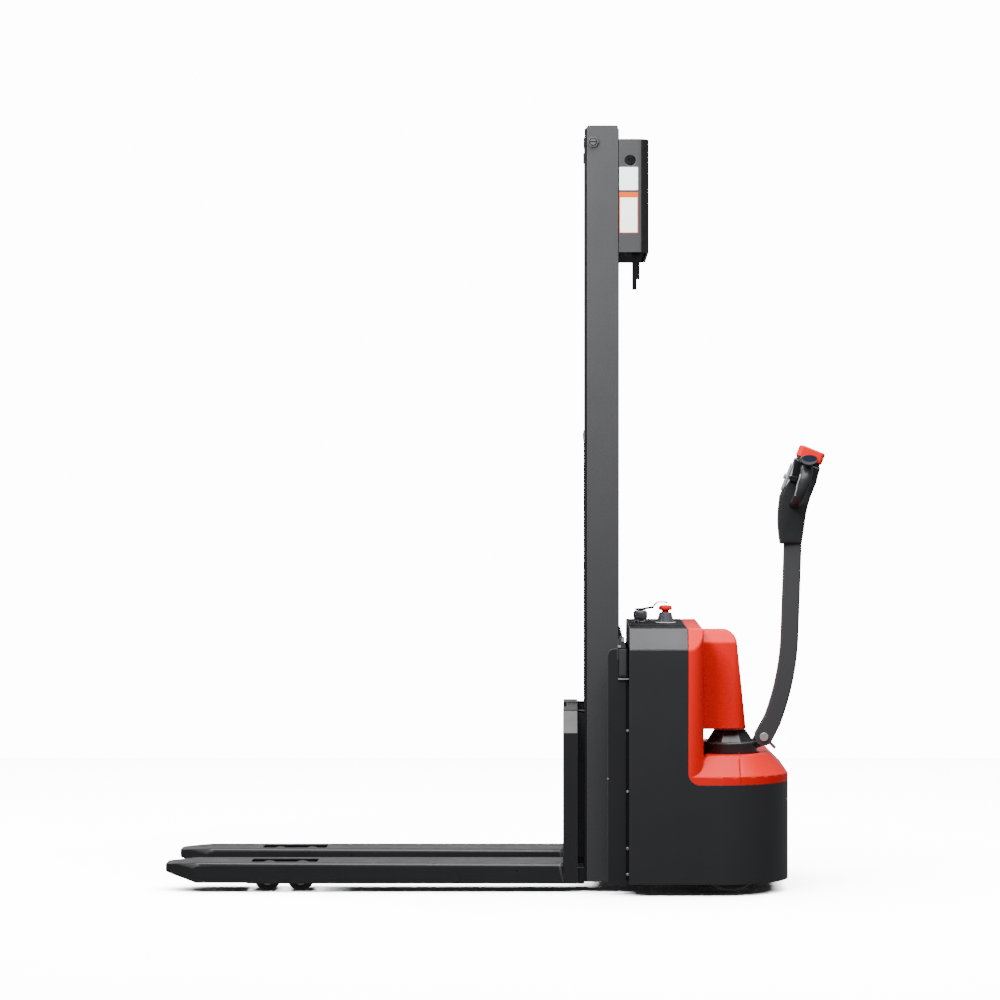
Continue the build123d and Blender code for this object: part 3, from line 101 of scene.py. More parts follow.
def mottle(tree, shader, place, dark, light, patch, rough, wear_and_highlight):
    """Blend two close colours and two roughnesses over patches of one size, and lighten the rounded edges:
    rubbed wear and a painted highlight.
    """
    patches = add(tree, "ShaderNodeTexNoise", {"Vector": place, "Scale": 1 / patch, "Detail": 4.0})
    colour = add(tree, "ShaderNodeMix", {0: patches.outputs[0], 6: linear(dark), 7: linear(light)},
                 data_type="RGBA")
    paint = colour.outputs[2]
    # Rounded edges turn lighter: rubbed wear, and a painted highlight where the edges catch the light.
    if wear_and_highlight:
        edges = add(tree, "ShaderNodeAttribute", attribute_name="wear_and_highlight_edge")
        share = add(tree, "ShaderNodeMath", {0: edges.outputs["Fac"], 1: patches.outputs[0]},
                    operation="MULTIPLY")
        rubbed_and_highlit = add(tree, "ShaderNodeMix", {0: share.outputs[0], 6: paint, 7: linear(wear_and_highlight)},
                     data_type="RGBA")
        paint = rubbed_and_highlit.outputs[2]
    tree.links.new(paint, shader.inputs["Base Color"])
    fine = add(tree, "ShaderNodeTexNoise", {"Vector": place, "Scale": 3 / patch, "Detail": 6.0})
    gloss = add(tree, "ShaderNodeMapRange", {0: fine.outputs[0], 1: 0.3, 2: 0.7, 3: rough[0], 4: rough[1]})
    tree.links.new(gloss.outputs[0], shader.inputs["Roughness"])


def grain(tree, shader, place, size, depth, strength):
    """A fine surface relief of one grain size and depth, in metres."""
    noise = add(tree, "ShaderNodeTexNoise", {"Vector": place, "Scale": 1 / size, "Detail": 3.0})
    bump = add(tree, "ShaderNodeBump", {"Height": noise.outputs[0], "Strength": strength, "Distance": depth})
    tree.links.new(bump.outputs[0], shader.inputs["Normal"])


def finish(name, dark, light, patch, rough, wear_and_highlight=None, relief=None, **constants):
    """A material on Object coordinates; a relief is the size, depth and strength of its grain."""
    material = bpy.data.materials.new(name)
    material.use_nodes = True
    tree = material.node_tree
    tree.nodes.clear()
    shader = add(tree, "ShaderNodeBsdfPrincipled", {k.replace("_", " "): v for k, v in constants.items()})
    add(tree, "ShaderNodeOutputMaterial", {"Surface": shader.outputs[0]})
    place = add(tree, "ShaderNodeTexCoord").outputs["Object"]
    mottle(tree, shader, place, dark, light, patch, rough, wear_and_highlight)
    if relief:
        grain(tree, shader, place, *relief)
    return material


# Patch and grain sizes are in metres. Grits finer than a millimetre are drawn 2 to 10 mm wide, as coarse
# as they need to show.

# Polyester powder coat on the mast: sprayed and baked, satin, with an orange-peel ripple. The real
# ripple is 2 mm wide and is drawn 6 mm wide to show.
mast_coat = finish("mast_powder_coat", "#343436", "#39393b", patch=0.22, rough=(0.40, 0.48),
                   wear_and_highlight="#5a5a5d", relief=(0.006, 0.0003, 0.25), IOR=1.5)

# Black with a wet, uneven shine: chain grease in the mast's channels, and painted shade on the strips of the
# uprights that the side plates leave bare, on the mast head's slanted rear and inner faces, on a plate inside
# the head, in the stop nuts' hollows and round the latches.
grease_and_painted_shade = finish("black_grease_and_painted_shade", "#0c0c0d", "#121213", patch=0.05, rough=(0.30, 0.50),
                       wear_and_highlight="#1c1c1e", relief=(0.008, 0.0004, 0.3), IOR=1.47)

# Black powder coat on forks, legs, carriage and chassis: sprayed and baked, glossier than on the mast.
frame_coat = finish("black_powder_coat", "#1c1c1e", "#212123", patch=0.18, rough=(0.26, 0.36),
                    wear_and_highlight="#505054", relief=(0.006, 0.0003, 0.25), IOR=1.5)

# Fine textured powder coat on the body sheet: a sandy skin that spreads highlights wide.
body_coat = finish("textured_powder_coat", "#202023", "#262629", patch=0.25, rough=(0.38, 0.46),
                   wear_and_highlight="#404044", relief=(0.004, 0.0004, 0.35), IOR=1.5)

# Injection moulded gloss ABS in red: clear even colour, faint flow waves.
red_abs = finish("red_moulded_abs", "#d20e0c", "#d8120f", patch=0.20, rough=(0.30, 0.38),
                 wear_and_highlight="#de2a24", relief=(0.020, 0.0004, 0.12), IOR=1.53, Specular_IOR_Level=0.13)

# Moulded black ABS on the tiller head, its grips and the key switch's flange: spark-eroded grain with a
# soft sheen.
black_abs = finish("black_grained_abs", "#1b1b1d", "#222224", patch=0.05, rough=(0.36, 0.46),
                   wear_and_highlight="#4b4b50", relief=(0.003, 0.0003, 0.4), IOR=1.53)

# Polished black nylon on the throttle paddles, the key and the limit switch: narrow, clear highlights.
gloss_black = finish("polished_black_nylon", "#0d0d0f", "#131316", patch=0.03, rough=(0.12, 0.2),
                     wear_and_highlight="#2c2c30", relief=(0.008, 0.0002, 0.15), IOR=1.53)

# Smoked polycarbonate lenses on the grip ends: dark blue and polished.
smoked_lens = finish("smoked_polycarbonate", "#171b2b", "#1d2236", patch=0.02, rough=(0.10, 0.18),
                     wear_and_highlight="#3a4058", relief=(0.010, 0.0001, 0.1), IOR=1.58)

# Silver lacquer on the tiller's panel and trims: sprayed on moulded ABS, with a fine metallic sparkle.
silver_lacquer = finish("silver_lacquered_abs", "#8c8f93", "#9a9da1", patch=0.01, rough=(0.34, 0.44),
                        wear_and_highlight="#b4b6b8", relief=(0.002, 0.0001, 0.2), Metallic=0.35, IOR=1.5)

# Bright zinc plate on screws, pins and rollers: soft bluish shine, slightly cloudy.
zinc_plate = finish("bright_zinc_plate", "#a7a9ac", "#c3c5c6", patch=0.012, rough=(0.24, 0.38),
                    wear_and_highlight="#dcdcda", relief=(0.004, 0.0001, 0.2), Metallic=0.6)

# Die-cast zinc alloy on the key barrel, stop switch, bolt ends and grip ends: dull grey, softly mottled.
die_cast = finish("die_cast_zinc", "#4c4e54", "#5a5c62", patch=0.008, rough=(0.36, 0.50),
                  wear_and_highlight="#8c8e92", relief=(0.002, 0.0001, 0.2), Metallic=0.4)

# Matt soft-touch skin on the dash, the cover's top and the mast's tie: swallows the overhead light. The same
# dark skin in the hollows behind the tiller's panel is painted shade.
matt_skin_and_hollow_shade = finish("matt_black_skin_and_hollow_shade", "#101012", "#18181a", patch=0.03, rough=(0.70, 0.85),
                   wear_and_highlight="#3a3a3e", relief=(0.003, 0.0003, 0.4), IOR=1.45, Specular_IOR_Level=0.12)

# Hard chrome on the piston rod and the key collar: ground and polished, close to a mirror.
hard_chrome = finish("hard_chrome", "#cfd1d3", "#dcdddf", patch=0.03, rough=(0.06, 0.12),
                     relief=(0.010, 0.0001, 0.05), Metallic=1.0)

# Oiled leaf chain: blued steel plates with a thin dark film.
chain_steel = finish("oiled_chain_steel", "#3e3d3b", "#5a5855", patch=0.02, rough=(0.28, 0.44),
                     wear_and_highlight="#83817c", relief=(0.003, 0.0002, 0.3), Metallic=1.0)

# Painted grey iron on the drive unit and the hydraulic pump: rough cast skin.
cast_coat = finish("painted_cast_iron", "#242426", "#313134", patch=0.06, rough=(0.45, 0.6),
                   wear_and_highlight="#6a6a6c", relief=(0.005, 0.0006, 0.5), IOR=1.5)

# Cast polyurethane on the wheels: dense, slightly waxy, dulled by floor dust.
polyurethane = finish("cast_polyurethane", "#1d1b1a", "#2b2927", patch=0.03, rough=(0.42, 0.6),
                      wear_and_highlight="#4a4744", relief=(0.004, 0.0003, 0.35), IOR=1.5)

# Clear polycarbonate guard sheet with a trace of haze.
clear_sheet = finish("clear_polycarbonate", "#f1f5f5", "#f8fbfb", patch=0.20, rough=(0.0, 0.003),
                     IOR=1.58, Transmission_Weight=1.0)

# Moulded rubber on the cover latches and the mast's buffers: dull, with hardly a highlight.
latch_rubber = finish("moulded_rubber", "#2a2a2c", "#333335", patch=0.02, rough=(0.55, 0.7),
                      wear_and_highlight="#4c4c4e", relief=(0.002, 0.0002, 0.4), IOR=1.5)

# Moulded polypropylene on the batteries, the controller and the charge gauge: dark grey, a little waxy.
case_plastic = finish("polypropylene_case", "#26282b", "#2e3033", patch=0.08, rough=(0.4, 0.55),
                      wear_and_highlight="#54565a", relief=(0.004, 0.0003, 0.3), IOR=1.49)

# Coated aluminium on the blank plates, white and orange: clean, even colour with a soft sheen.
white_plate = finish("white_coated_plate", "#e9ebee", "#f3f4f6", patch=0.02, rough=(0.28, 0.38),
                     wear_and_highlight="#ffffff", relief=(0.003, 0.0001, 0.1), IOR=1.5)
orange_plate = finish("orange_coated_plate", "#bf4a0a", "#c8500c", patch=0.02, rough=(0.28, 0.38),
                      wear_and_highlight="#d06a28", relief=(0.003, 0.0001, 0.1), IOR=1.5)

finishes = {
    "mast_paint": mast_coat,
    "frame_paint": frame_coat,
    "body_paint": body_coat,
    "red_plastic": red_abs,
    "black_plastic": black_abs,
    "grey_plastic": silver_lacquer,
    "bright_steel": zinc_plate,
    "chain_steel": chain_steel,
    "chromed_steel": hard_chrome,
    "cast_housing": cast_coat,
    "polyurethane": polyurethane,
    "clear_guard": clear_sheet,
}
slot_of = {part["node"]: part["material_slot"] for part in frame["record"]["subparts"]}
bodies = frame["record"]["behaviour"]["bodies"]
body_of = {node: body for body, members in bodies.items() for node in members}
own_finish = {
    "batteries": case_plastic,
    "motor_controller": case_plastic,
    "throttle_paddles": gloss_black,
    "key": gloss_black,
    "tiller_arm": mast_coat,
    # The uprights are drawn black: chain grease in their channels, and painted shade on the edge strips that
    # the side plates leave bare.
    "left_upright": grease_and_painted_shade,
    "right_upright": grease_and_painted_shade,
    "mast_top_tie": matt_skin_and_hollow_shade,
    "emergency_stop_base": die_cast,
    "carriage_stop_bolts": mast_coat,
    "dash_panel": matt_skin_and_hollow_shade,
}


def finish_of(node):
    """The material of a CAD node."""
    return own_finish.get(node, finishes[slot_of[node]])


for name, node in nodes.items():
    node.data.materials.clear()
    node.data.materials.append(finish_of(name))


# Ways of making pieces

def as_piece(name, shape, body, material, slot, *stands_for, smooth=35):
    """Turn a bmesh into a piece that rides on a body, in place of the CAD nodes that it stands for."""
    mesh = bpy.data.meshes.new(name)
    shape.to_mesh(mesh)
    shape.free()
    mesh.materials.append(material)
    mesh.polygons.foreach_set("use_smooth", [True] * len(mesh.polygons))
    mesh.set_sharp_from_angle(angle=radians(smooth))
    piece = bpy.data.objects.new(name, mesh)
    scene.collection.objects.link(piece)
    shading = piece.modifiers.new("even_shading", "WEIGHTED_NORMAL")
    shading.keep_sharp = True
    shading.weight = 90
    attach(piece, body)
    if stands_for:
        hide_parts(*stands_for)
    return piece


def round_edges(shape, width, steps, sharp=25, chosen=None):
    """Round the sharp edges that have room on both faces, and mark the new faces for a lighter edge colour:
    wear and a painted highlight.
    """
    wear_and_highlight = shape.faces.layers.float.get("wear_and_highlight_edge") or shape.faces.layers.float.new("wear_and_highlight_edge")
    shortest = 1e-6
    widths_needed = 2.2
    picked = []
    for edge in shape.edges:
        if not edge.is_manifold or edge.calc_face_angle() < radians(sharp):
            continue
        room = min(face.calc_area() for face in edge.link_faces) / max(edge.calc_length(), shortest)
        if room > widths_needed * width and (chosen is None or chosen(edge)):
            picked.append(edge)
    made = bmesh.ops.bevel(shape, geom=picked, offset=width, offset_type="OFFSET", segments=steps,
                           profile=0.5, affect="EDGES", clamp_overlap=False)
    for face in made["faces"]:
        face[wear_and_highlight] = 1.0


def rounded_piece(name, shape, width, body, material, slot, *stands_for, steps=2, sharp=25, smooth=35):
    """Round the edges of a bmesh and turn it into a piece."""
    round_edges(shape, width, steps, sharp)
    as_piece(name, shape, body, material, slot, *stands_for, smooth=smooth)


def solid_copy(node):
    """A bmesh of a CAD node with its triangles joined to whole faces."""
    shape = bmesh.new()
    shape.from_mesh(nodes[node].data)
    bmesh.ops.remove_doubles(shape, verts=shape.verts, dist=0.00002)
    bmesh.ops.dissolve_limit(shape, angle_limit=radians(0.5), verts=shape.verts, edges=shape.edges)
    return shape


def eased(node, *rounds, fit=None):
    """A CAD node's piece with rounded edges: each round is a width, and a choice of edges if it has one."""
    shape = solid_copy(node)
    if fit:
        fit(shape)
    narrow = 0.002
    for width, *chosen in rounds:
        round_edges(shape, width, 3 if width > narrow else 2, chosen=chosen[0] if chosen else None)
    low, high = cad_box
    for vert in shape.verts:
        vert.co = [min(max(value, low[i]), high[i]) for i, value in enumerate(vert.co)]
    return as_piece(node + "_form", shape, body_of[node], finish_of(node), slot_of[node], node)


def lathe(profile, place, along=(0, 0, 1), steps=40, closed=False):
    """A bmesh turned round the axis along: (radius, height) pairs from foot to top, and back if closed."""
    shape = bmesh.new()
    turn = Vector((0, 0, 1)).rotation_difference(Vector(along)).to_matrix().to_4x4()
    put = Matrix.Translation(place) @ turn
    rings = []
    for radius, height in profile:
        angles = [tau * i / steps for i in range(steps)] if radius else [0]
        rings.append([shape.verts.new(put @ Vector((radius * cos(angle), radius * sin(angle), height)))
                      for angle in angles])
    for low, high in zip(rings, rings[1:] + rings[:closed]):
        for i in range(steps):
            j = (i + 1) % steps
            ring = [low[i % len(low)], low[j % len(low)], high[j % len(high)], high[i % len(high)]]
            shape.faces.new(list(dict.fromkeys(ring)))
    for ring in (rings[0][::-1], rings[-1]):
        if len(ring) > 1 and not closed:
            shape.faces.new(ring)
    return shape


def slab(outline, place, right, thick):
    """A bmesh of an upright plate: an outline to the right and up, thickened away from both."""
    right = Vector(right)
    up = Vector((0, 0, 1))
    out = right.cross(up)
    shape = bmesh.new()
    back = [shape.verts.new(Vector(place) + right * u + up * v) for u, v in outline]
    front = [shape.verts.new(vert.co + out * thick) for vert in back]
    shape.faces.new(back[::-1])
    shape.faces.new(front)
    for i in range(len(back)):
        j = (i + 1) % len(back)
        shape.faces.new((back[i], back[j], front[j], front[i]))
    return shape


def rounded(width, height, corner, steps=5):
    """The outline of a rectangle with round corners, about its middle, anticlockwise."""
    points = []
    for quarter, (sx, sy) in enumerate(((1, 1), (-1, 1), (-1, -1), (1, -1))):
        for k in range(steps + 1):
            angle = pi / 2 * (quarter + k / steps)
            points.append((sx * (width / 2 - corner) + corner * cos(angle),
                           sy * (height / 2 - corner) + corner * sin(angle)))
    return points


def oval(width, height, steps):
    """The outline of an oval about its middle, from its half width and half height."""
    return [(width * cos(tau * k / steps), height * sin(tau * k / steps)) for k in range(steps)]


def wire(points, radius, closed=False):
    """A bmesh of a round wire along points."""
    line = bpy.data.curves.new("wire", "CURVE")
    line.dimensions = "3D"
    line.bevel_depth = radius
    line.bevel_resolution = 3
    line.use_fill_caps = True
    spline = line.splines.new("NURBS")
    spline.points.add(len(points) - 1)
    for point, place in zip(spline.points, points):
        point.co = (*place, 1)
    spline.order_u = 3
    spline.use_endpoint_u = not closed
    spline.use_cyclic_u = closed
    spline.resolution_u = 10
    holder = bpy.data.objects.new("wire", line)
    shape = bmesh.new()
    shape.from_mesh(bpy.data.meshes.new_from_object(holder))
    bpy.data.objects.remove(holder)
    bmesh.ops.remove_doubles(shape, verts=shape.verts, dist=0.00001)
    bmesh.ops.recalc_face_normals(shape, faces=shape.faces)
    return shape


def merged(*shapes):
    """One bmesh from several."""
    whole = bmesh.new()
    for shape in shapes:
        mesh = bpy.data.meshes.new("part")
        shape.to_mesh(mesh)
        shape.free()
        whole.from_mesh(mesh)
        bpy.data.meshes.remove(mesh)
    return whole


def two_tone(piece, second, chosen):
    """Give another finish to the faces of a piece that are chosen by their middle and direction."""
    piece.data.materials.append(second)
    for face in piece.data.polygons:
        if chosen(face.center, face.normal):
            face.material_index = len(piece.data.materials) - 1
    return piece


# CAD nodes with the edges of the real pieces: rolled corners on the mast, moulded ones on the covers,
# and the fine break of sheared plate elsewhere

def upright_corner(edge):
    """Whether an edge is one of the mast's long outer corners."""
    long = 0.5
    outside_y = 0.27
    low, high = (vert.co for vert in edge.verts)
    return abs(low.z - high.z) > long and min(abs(low.y), abs(high.y)) > outside_y


def outer_moulding(edge):
    """Whether an edge stands out from a cover, away from its lower rim."""
    rim_z = 0.325
    return edge.is_convex and min(vert.co.z for vert in edge.verts) > rim_z


def fork_top(edge):
    """Whether an edge is where a fork's top plate bends down into its sides."""
    below_top_z = 0.07
    inner_y, outer_y = 0.125, 0.275
    low, high = (vert.co for vert in edge.verts)
    between_sides = any(inner_y < abs(vert.co.y) < outer_y for vert in edge.verts)
    return min(low.z, high.z) > below_top_z and not between_sides


def proud(edge):
    """Whether an edge stands out, so that rounding it leaves the room of a part that moves beside it."""
    return edge.is_convex


def set_back(shape):
    """Draw a cover's front wall back to the gap that the latches leave."""
    behind_wall_x = 0.386
    gap = 0.0100
    for vert in shape.verts:
        if vert.co.x < behind_wall_x:
            vert.co.x += gap


def lowered_flange(shape):
    """Draw the chassis flanges in at their tops and front edges, beside the latches."""
    inside_y = 0.340
    root_x = 0.40
    below_top_z, top_drop = 0.700, 0.0255
    behind_edge_x, edge_draw = 0.335, 0.0150
    for vert in shape.verts:
        if abs(vert.co.y) > inside_y and vert.co.x < root_x:
            if vert.co.z > below_top_z:
                vert.co.z -= top_drop
            if vert.co.x < behind_edge_x:
                vert.co.x += edge_draw


def flat_head(shape):
    """Lower the top of the fork carriage to just above its shoulders."""
    shoulder_z = 0.520
    share_left = 0.125
    for vert in shape.verts:
        if vert.co.z > shoulder_z:
            vert.co.z = shoulder_z + (vert.co.z - shoulder_z) * share_left


def shallow_tie(shape):
    """Raise the underside of the mast's tie to the edge of the head plate."""
    above_underside_z = 1.830
    rise = 0.0320
    for vert in shape.verts:
        if vert.co.z < above_underside_z:
            vert.co.z += rise


def between(value, table):
    """A value read off a table of (place, amount) pairs, straight from one to the next."""
    for (low, first), (high, last) in zip(table, table[1:]):
        if low <= value <= high:
            return first + (last - first) * (value - low) / (high - low)
    return table[0][1] if value < table[0][0] else table[-1][1]


# The tiller head's middle, the reach of its cheeks from there, and its straight faces in the CAD
head_y = -0.2
cheek_out = 0.05
head_front_x = 0.8257
head_bend_z = 1.145
head_front_lean = 0.40
head_rear_x = 0.8925
head_foot_z = 1.006
head_rear_lean = 0.198

# How far the bowed front and rear lie from the straight faces, by height
front_bow = ((1.003, 0.0), (1.030, -0.0040), (1.066, -0.0068), (1.100, -0.0056), (1.130, -0.0020),
             (1.157, 0.0))
rear_bow = ((1.003, -0.0085), (1.043, -0.0085), (1.087, -0.0095), (1.139, -0.0060), (1.179, 0.0))

# The ridge across each cheek and the silver panel's edges on it: a point, and the directions across them
ridge_at = Vector((0.8725, 0, 1.1154))
ridge_out = Vector((0.910, 0, -0.414))
wing_at = Vector((0.8550, 0, 1.1908))
wing_rear = Vector((0.981, 0, -0.195))
wing_low = Vector((0.800, 0, -0.600))


def curved_head(shape):
    """Bow the tiller head's front and rear, and fold its cheeks in behind a ridge."""
    first_cut_z, cut_gap, cut_count = 1.010, 0.013, 20
    ridge_top_z = 1.118
    fold_depth, fold_share = 0.05, 3.2
    cuts = [((0, 0, first_cut_z + cut_gap * k), (0, 0, 1)) for k in range(cut_count)]
    for place, across in cuts + [(ridge_at, ridge_out), (wing_at, wing_rear), (wing_at, wing_low)]:
        everything = shape.verts[:] + shape.edges[:] + shape.faces[:]
        bmesh.ops.bisect_plane(shape, geom=everything, plane_co=place, plane_no=across)
    for vert in shape.verts:
        x, y, z = vert.co
        front = head_front_x + max(z - head_bend_z, 0) * head_front_lean
        rear = head_rear_x + (z - head_foot_z) * head_rear_lean
        share = min(max((x - front) / (rear - front), 0), 1)
        behind = (vert.co - ridge_at).dot(ridge_out)
        if behind > 0 and z < ridge_top_z and abs(y - head_y) < cheek_out:
            vert.co.y = head_y + (y - head_y) * (1 - min(behind, fold_depth) * fold_share)
        vert.co.x = x + between(z, front_bow) * (1 - share) + between(z, rear_bow) * share


def head_cheek(middle, facing):
    """Whether a face is on one of the tiller head's sides."""
    cheek_in = 0.04
    return abs(facing.y) > 0.5 and cheek_in < abs(middle.y - head_y) < cheek_out


def silver_wing(middle, facing):
    """Whether a face of the tiller head is in the part of a cheek that the silver panel wraps."""
    panel_top_z = 1.238
    arm = middle - wing_at
    wrapped = arm.dot(wing_rear) < 0 and arm.dot(wing_low) < 0
    return head_cheek(middle, facing) and middle.z < panel_top_z and wrapped


def finger_hollow(middle, facing):
    """Whether a face of the tiller head is in the hollow behind the silver panel, where a darker skin paints
    its shade.
    """
    hollow_foot_z, hollow_top_z = 1.185, 1.240
    hollow_rear_x = 0.905
    level = hollow_foot_z < middle.z < hollow_top_z
    behind = (middle - wing_at).dot(wing_rear) > 0 and middle.x < hollow_rear_x
    return head_cheek(middle, facing) and level and behind


def inside_head(middle, facing):
    """Whether a face of the mast head is on its slanted rear or looks inwards, where a black finish paints
    its shade.
    """
    head_middle_x = 0.38
    return facing.x > 0.3 or facing.x * (middle.x - head_middle_x) + facing.y * middle.y < 0


def level_top(middle, facing):
    """Whether a face lies flat on top."""
    return facing.z > 0.98


for name in ("left_upright", "right_upright"):
    eased(name, (0.003, upright_corner), (0.0008,))
# The mast head's slanted rear and inner faces are black: painted shade.
two_tone(eased("mast_head", (0.001,)), grease_and_painted_shade, inside_head)
for name in ("left_fork", "right_fork"):
    eased(name, (0.012, fork_top), (0.0012,))
for name in ("left_leg", "right_leg", "base_beam"):
    eased(name, (0.0012,))
eased("fork_carriage", (0.0012,), fit=flat_head)
eased("chassis_frame", (0.0012,), fit=lowered_flange)
eased("mast_top_tie", (0.001,), fit=shallow_tie)
eased("carriage_stop_bolts", (0.001,))
eased("body_shell", (0.001,), fit=set_back)
two_tone(eased("top_cover", (0.003, outer_moulding), (0.0008,), fit=set_back), matt_skin_and_hollow_shade, level_top)
eased("dash_panel", (0.0006,))
for name in ("rear_cover", "rear_deck_cover"):
    eased(name, (0.005, outer_moulding), (0.001,))
for name in ("tiller_base", "tiller_arm", "tiller_pins", "drive_gearbox", "drive_wheel_hub", "slewing_ring"):
    eased(name, (0.0015,), (0.0006,))
head = eased("tiller_head", (0.002, proud), (0.0008, proud), fit=curved_head)
# The hollows behind the silver panel take the darker skin: painted shade.
two_tone(two_tone(head, silver_lacquer, silver_wing), matt_skin_and_hollow_shade, finger_hollow)
eased("belly_button", (0.003, proud), (0.001, proud))
for name in ("control_panel", "throttle_paddles", "key", "emergency_stop_base"):
    eased(name, (0.001, proud))
for name in ("lower_button", "horn_button", "lift_button"):
    eased(name, (0.0015,))
for name in ("caster_fork", "batteries", "hydraulic_unit", "motor_controller", "sheave_yoke", "lift_barrel"):
    eased(name, (0.0012,))


# Node trees for what repeats: screw heads and leaf chain

def start_tree(name, sizes):
    """A geometry node tree with named sizes and a finish: the tree, its inputs and their identifiers."""
    tree = bpy.data.node_groups.new(name, "GeometryNodeTree")
    tree.interface.new_socket("Geometry", in_out="INPUT", socket_type="NodeSocketGeometry")
    known = {}
    for size in sizes:
        kind = "NodeSocketInt" if size == "Sides" else "NodeSocketFloat"
        known[size] = tree.interface.new_socket(size, in_out="INPUT", socket_type=kind).identifier
    coat = tree.interface.new_socket("Finish", in_out="INPUT", socket_type="NodeSocketMaterial")
    known["Finish"] = coat.identifier
    tree.interface.new_socket("Geometry", in_out="OUTPUT", socket_type="NodeSocketGeometry")
    return tree, add(tree, "NodeGroupInput").outputs, known


def end_tree(tree, given, shapes):
    """Join the shapes, make them real and give them the finish."""
    whole = add(tree, "GeometryNodeJoinGeometry")
    for shape in shapes:
        tree.links.new(shape, whole.inputs[0])
    real = add(tree, "GeometryNodeRealizeInstances", {0: whole.outputs[0]})
    dressed = add(tree, "GeometryNodeSetMaterial", {"Geometry": real.outputs[0], "Material": given["Finish"]})
    add(tree, "NodeGroupOutput", {0: dressed.outputs[0]})


def times(tree, value, factor):
    """A size of the tree multiplied by a plain number."""
    return add(tree, "ShaderNodeMath", {0: value, 1: factor}, operation="MULTIPLY").outputs[0]


# A screw on each point, along its facing: a flat washer, a head with a broken edge, and a socket in it
screw_tree, given, screw_sizes = start_tree("screw_heads", ("Sides", "Radius", "Height", "Socket"))
washer = add(screw_tree, "GeometryNodeMeshCone", {
    "Vertices": 20, "Radius Top": times(screw_tree, given["Radius"], 1.22),
    "Radius Bottom": times(screw_tree, given["Radius"], 1.3),
    "Depth": times(screw_tree, given["Height"], 0.22)})
drum = add(screw_tree, "GeometryNodeMeshCone", {
    "Vertices": given["Sides"], "Radius Top": given["Radius"], "Radius Bottom": given["Radius"],
    "Depth": times(screw_tree, given["Height"], 0.82)})
bevel = add(screw_tree, "GeometryNodeMeshCone", {
    "Vertices": given["Sides"], "Radius Top": times(screw_tree, given["Radius"], 0.8),
    "Radius Bottom": given["Radius"], "Depth": times(screw_tree, given["Height"], 0.18)})
rim = add(screw_tree, "GeometryNodeExtrudeMesh", {
    "Mesh": bevel.outputs["Mesh"], "Selection": bevel.outputs["Top"], "Offset Scale": 0.0})
drawn = add(screw_tree, "GeometryNodeScaleElements", {
    "Geometry": rim.outputs["Mesh"], "Selection": rim.outputs["Top"], "Scale": given["Socket"]})
socket = add(screw_tree, "GeometryNodeExtrudeMesh", {
    "Mesh": drawn.outputs[0], "Selection": rim.outputs["Top"],
    "Offset Scale": times(screw_tree, given["Height"], -0.45)})
lift = add(screw_tree, "ShaderNodeCombineXYZ", {"Z": times(screw_tree, given["Height"], 0.82)})
raised = add(screw_tree, "GeometryNodeTransform", {
    "Geometry": socket.outputs["Mesh"], "Translation": lift.outputs[0]})
whole = add(screw_tree, "GeometryNodeJoinGeometry")
for part in (washer.outputs["Mesh"], drum.outputs["Mesh"], raised.outputs[0]):
    screw_tree.links.new(part, whole.inputs[0])
facing = add(screw_tree, "GeometryNodeInputNamedAttribute", {"Name": "facing"}, data_type="FLOAT_VECTOR")
turned = add(screw_tree, "FunctionNodeAlignRotationToVector", {"Vector": facing.outputs[0]}, axis="Z")
placed = add(screw_tree, "GeometryNodeInstanceOnPoints", {
    "Points": given["Geometry"], "Instance": whole.outputs[0], "Rotation": turned.outputs[0]})
end_tree(screw_tree, given, [placed.outputs[0]])

# Leaf chain along a path: plates that overlap from pin to pin, three wide and two wide by turns
chain_tree, given, chain_sizes = start_tree(
    "leaf_chain", ("Pitch", "Plate height", "Plate thickness", "Width"))
path = add(chain_tree, "GeometryNodeMeshToCurve", {0: given["Geometry"]})
even = add(chain_tree, "GeometryNodeResampleCurve", {
    "Curve": path.outputs[0], "Length": given["Pitch"]}, mode="LENGTH")
pins = add(chain_tree, "GeometryNodeCurveToPoints", {"Curve": even.outputs[0]}, mode="EVALUATED")
across = add(chain_tree, "ShaderNodeCombineXYZ", {"Y": 1.0})
turned = add(chain_tree, "FunctionNodeAxesToRotation", {
    "Primary Axis": pins.outputs["Tangent"], "Secondary Axis": across.outputs[0]},
    primary_axis="Z", secondary_axis="Y")
plate_length = add(chain_tree, "ShaderNodeMath", {
    0: given["Pitch"], 1: times(chain_tree, given["Plate height"], 0.92)}, operation="ADD")
outline = add(chain_tree, "GeometryNodeCurvePrimitiveQuadrilateral", {
    "Width": given["Plate height"], "Height": plate_length.outputs[0]})
ends = add(chain_tree, "GeometryNodeFilletCurve", {
    "Curve": outline.outputs[0], "Radius": times(chain_tree, given["Plate height"], 0.46), "Count": 3},
    mode="POLY")
face = add(chain_tree, "GeometryNodeFillCurve", {"Curve": ends.outputs[0]}, mode="NGONS")
thick = add(chain_tree, "GeometryNodeExtrudeMesh", {
    "Mesh": face.outputs[0], "Offset Scale": given["Plate thickness"]})
under = add(chain_tree, "GeometryNodeFlipFaces", {0: face.outputs[0]})
plate = add(chain_tree, "GeometryNodeJoinGeometry")
chain_tree.links.new(thick.outputs["Mesh"], plate.inputs[0])
chain_tree.links.new(under.outputs[0], plate.inputs[0])
on_side = (pi / 2, 0, 0)
stood = add(chain_tree, "GeometryNodeTransform", {"Geometry": plate.outputs[0], "Rotation": on_side})
half_pitch = times(chain_tree, given["Pitch"], 0.5)
turn_number = add(chain_tree, "ShaderNodeMath", {
    0: add(chain_tree, "GeometryNodeInputIndex").outputs[0], 1: 2.0}, operation="MODULO").outputs[0]
other_turn = add(chain_tree, "ShaderNodeMath", {0: 1.0, 1: turn_number}, operation="SUBTRACT").outputs[0]
three_wide = (-0.38, 0.04, 0.46)
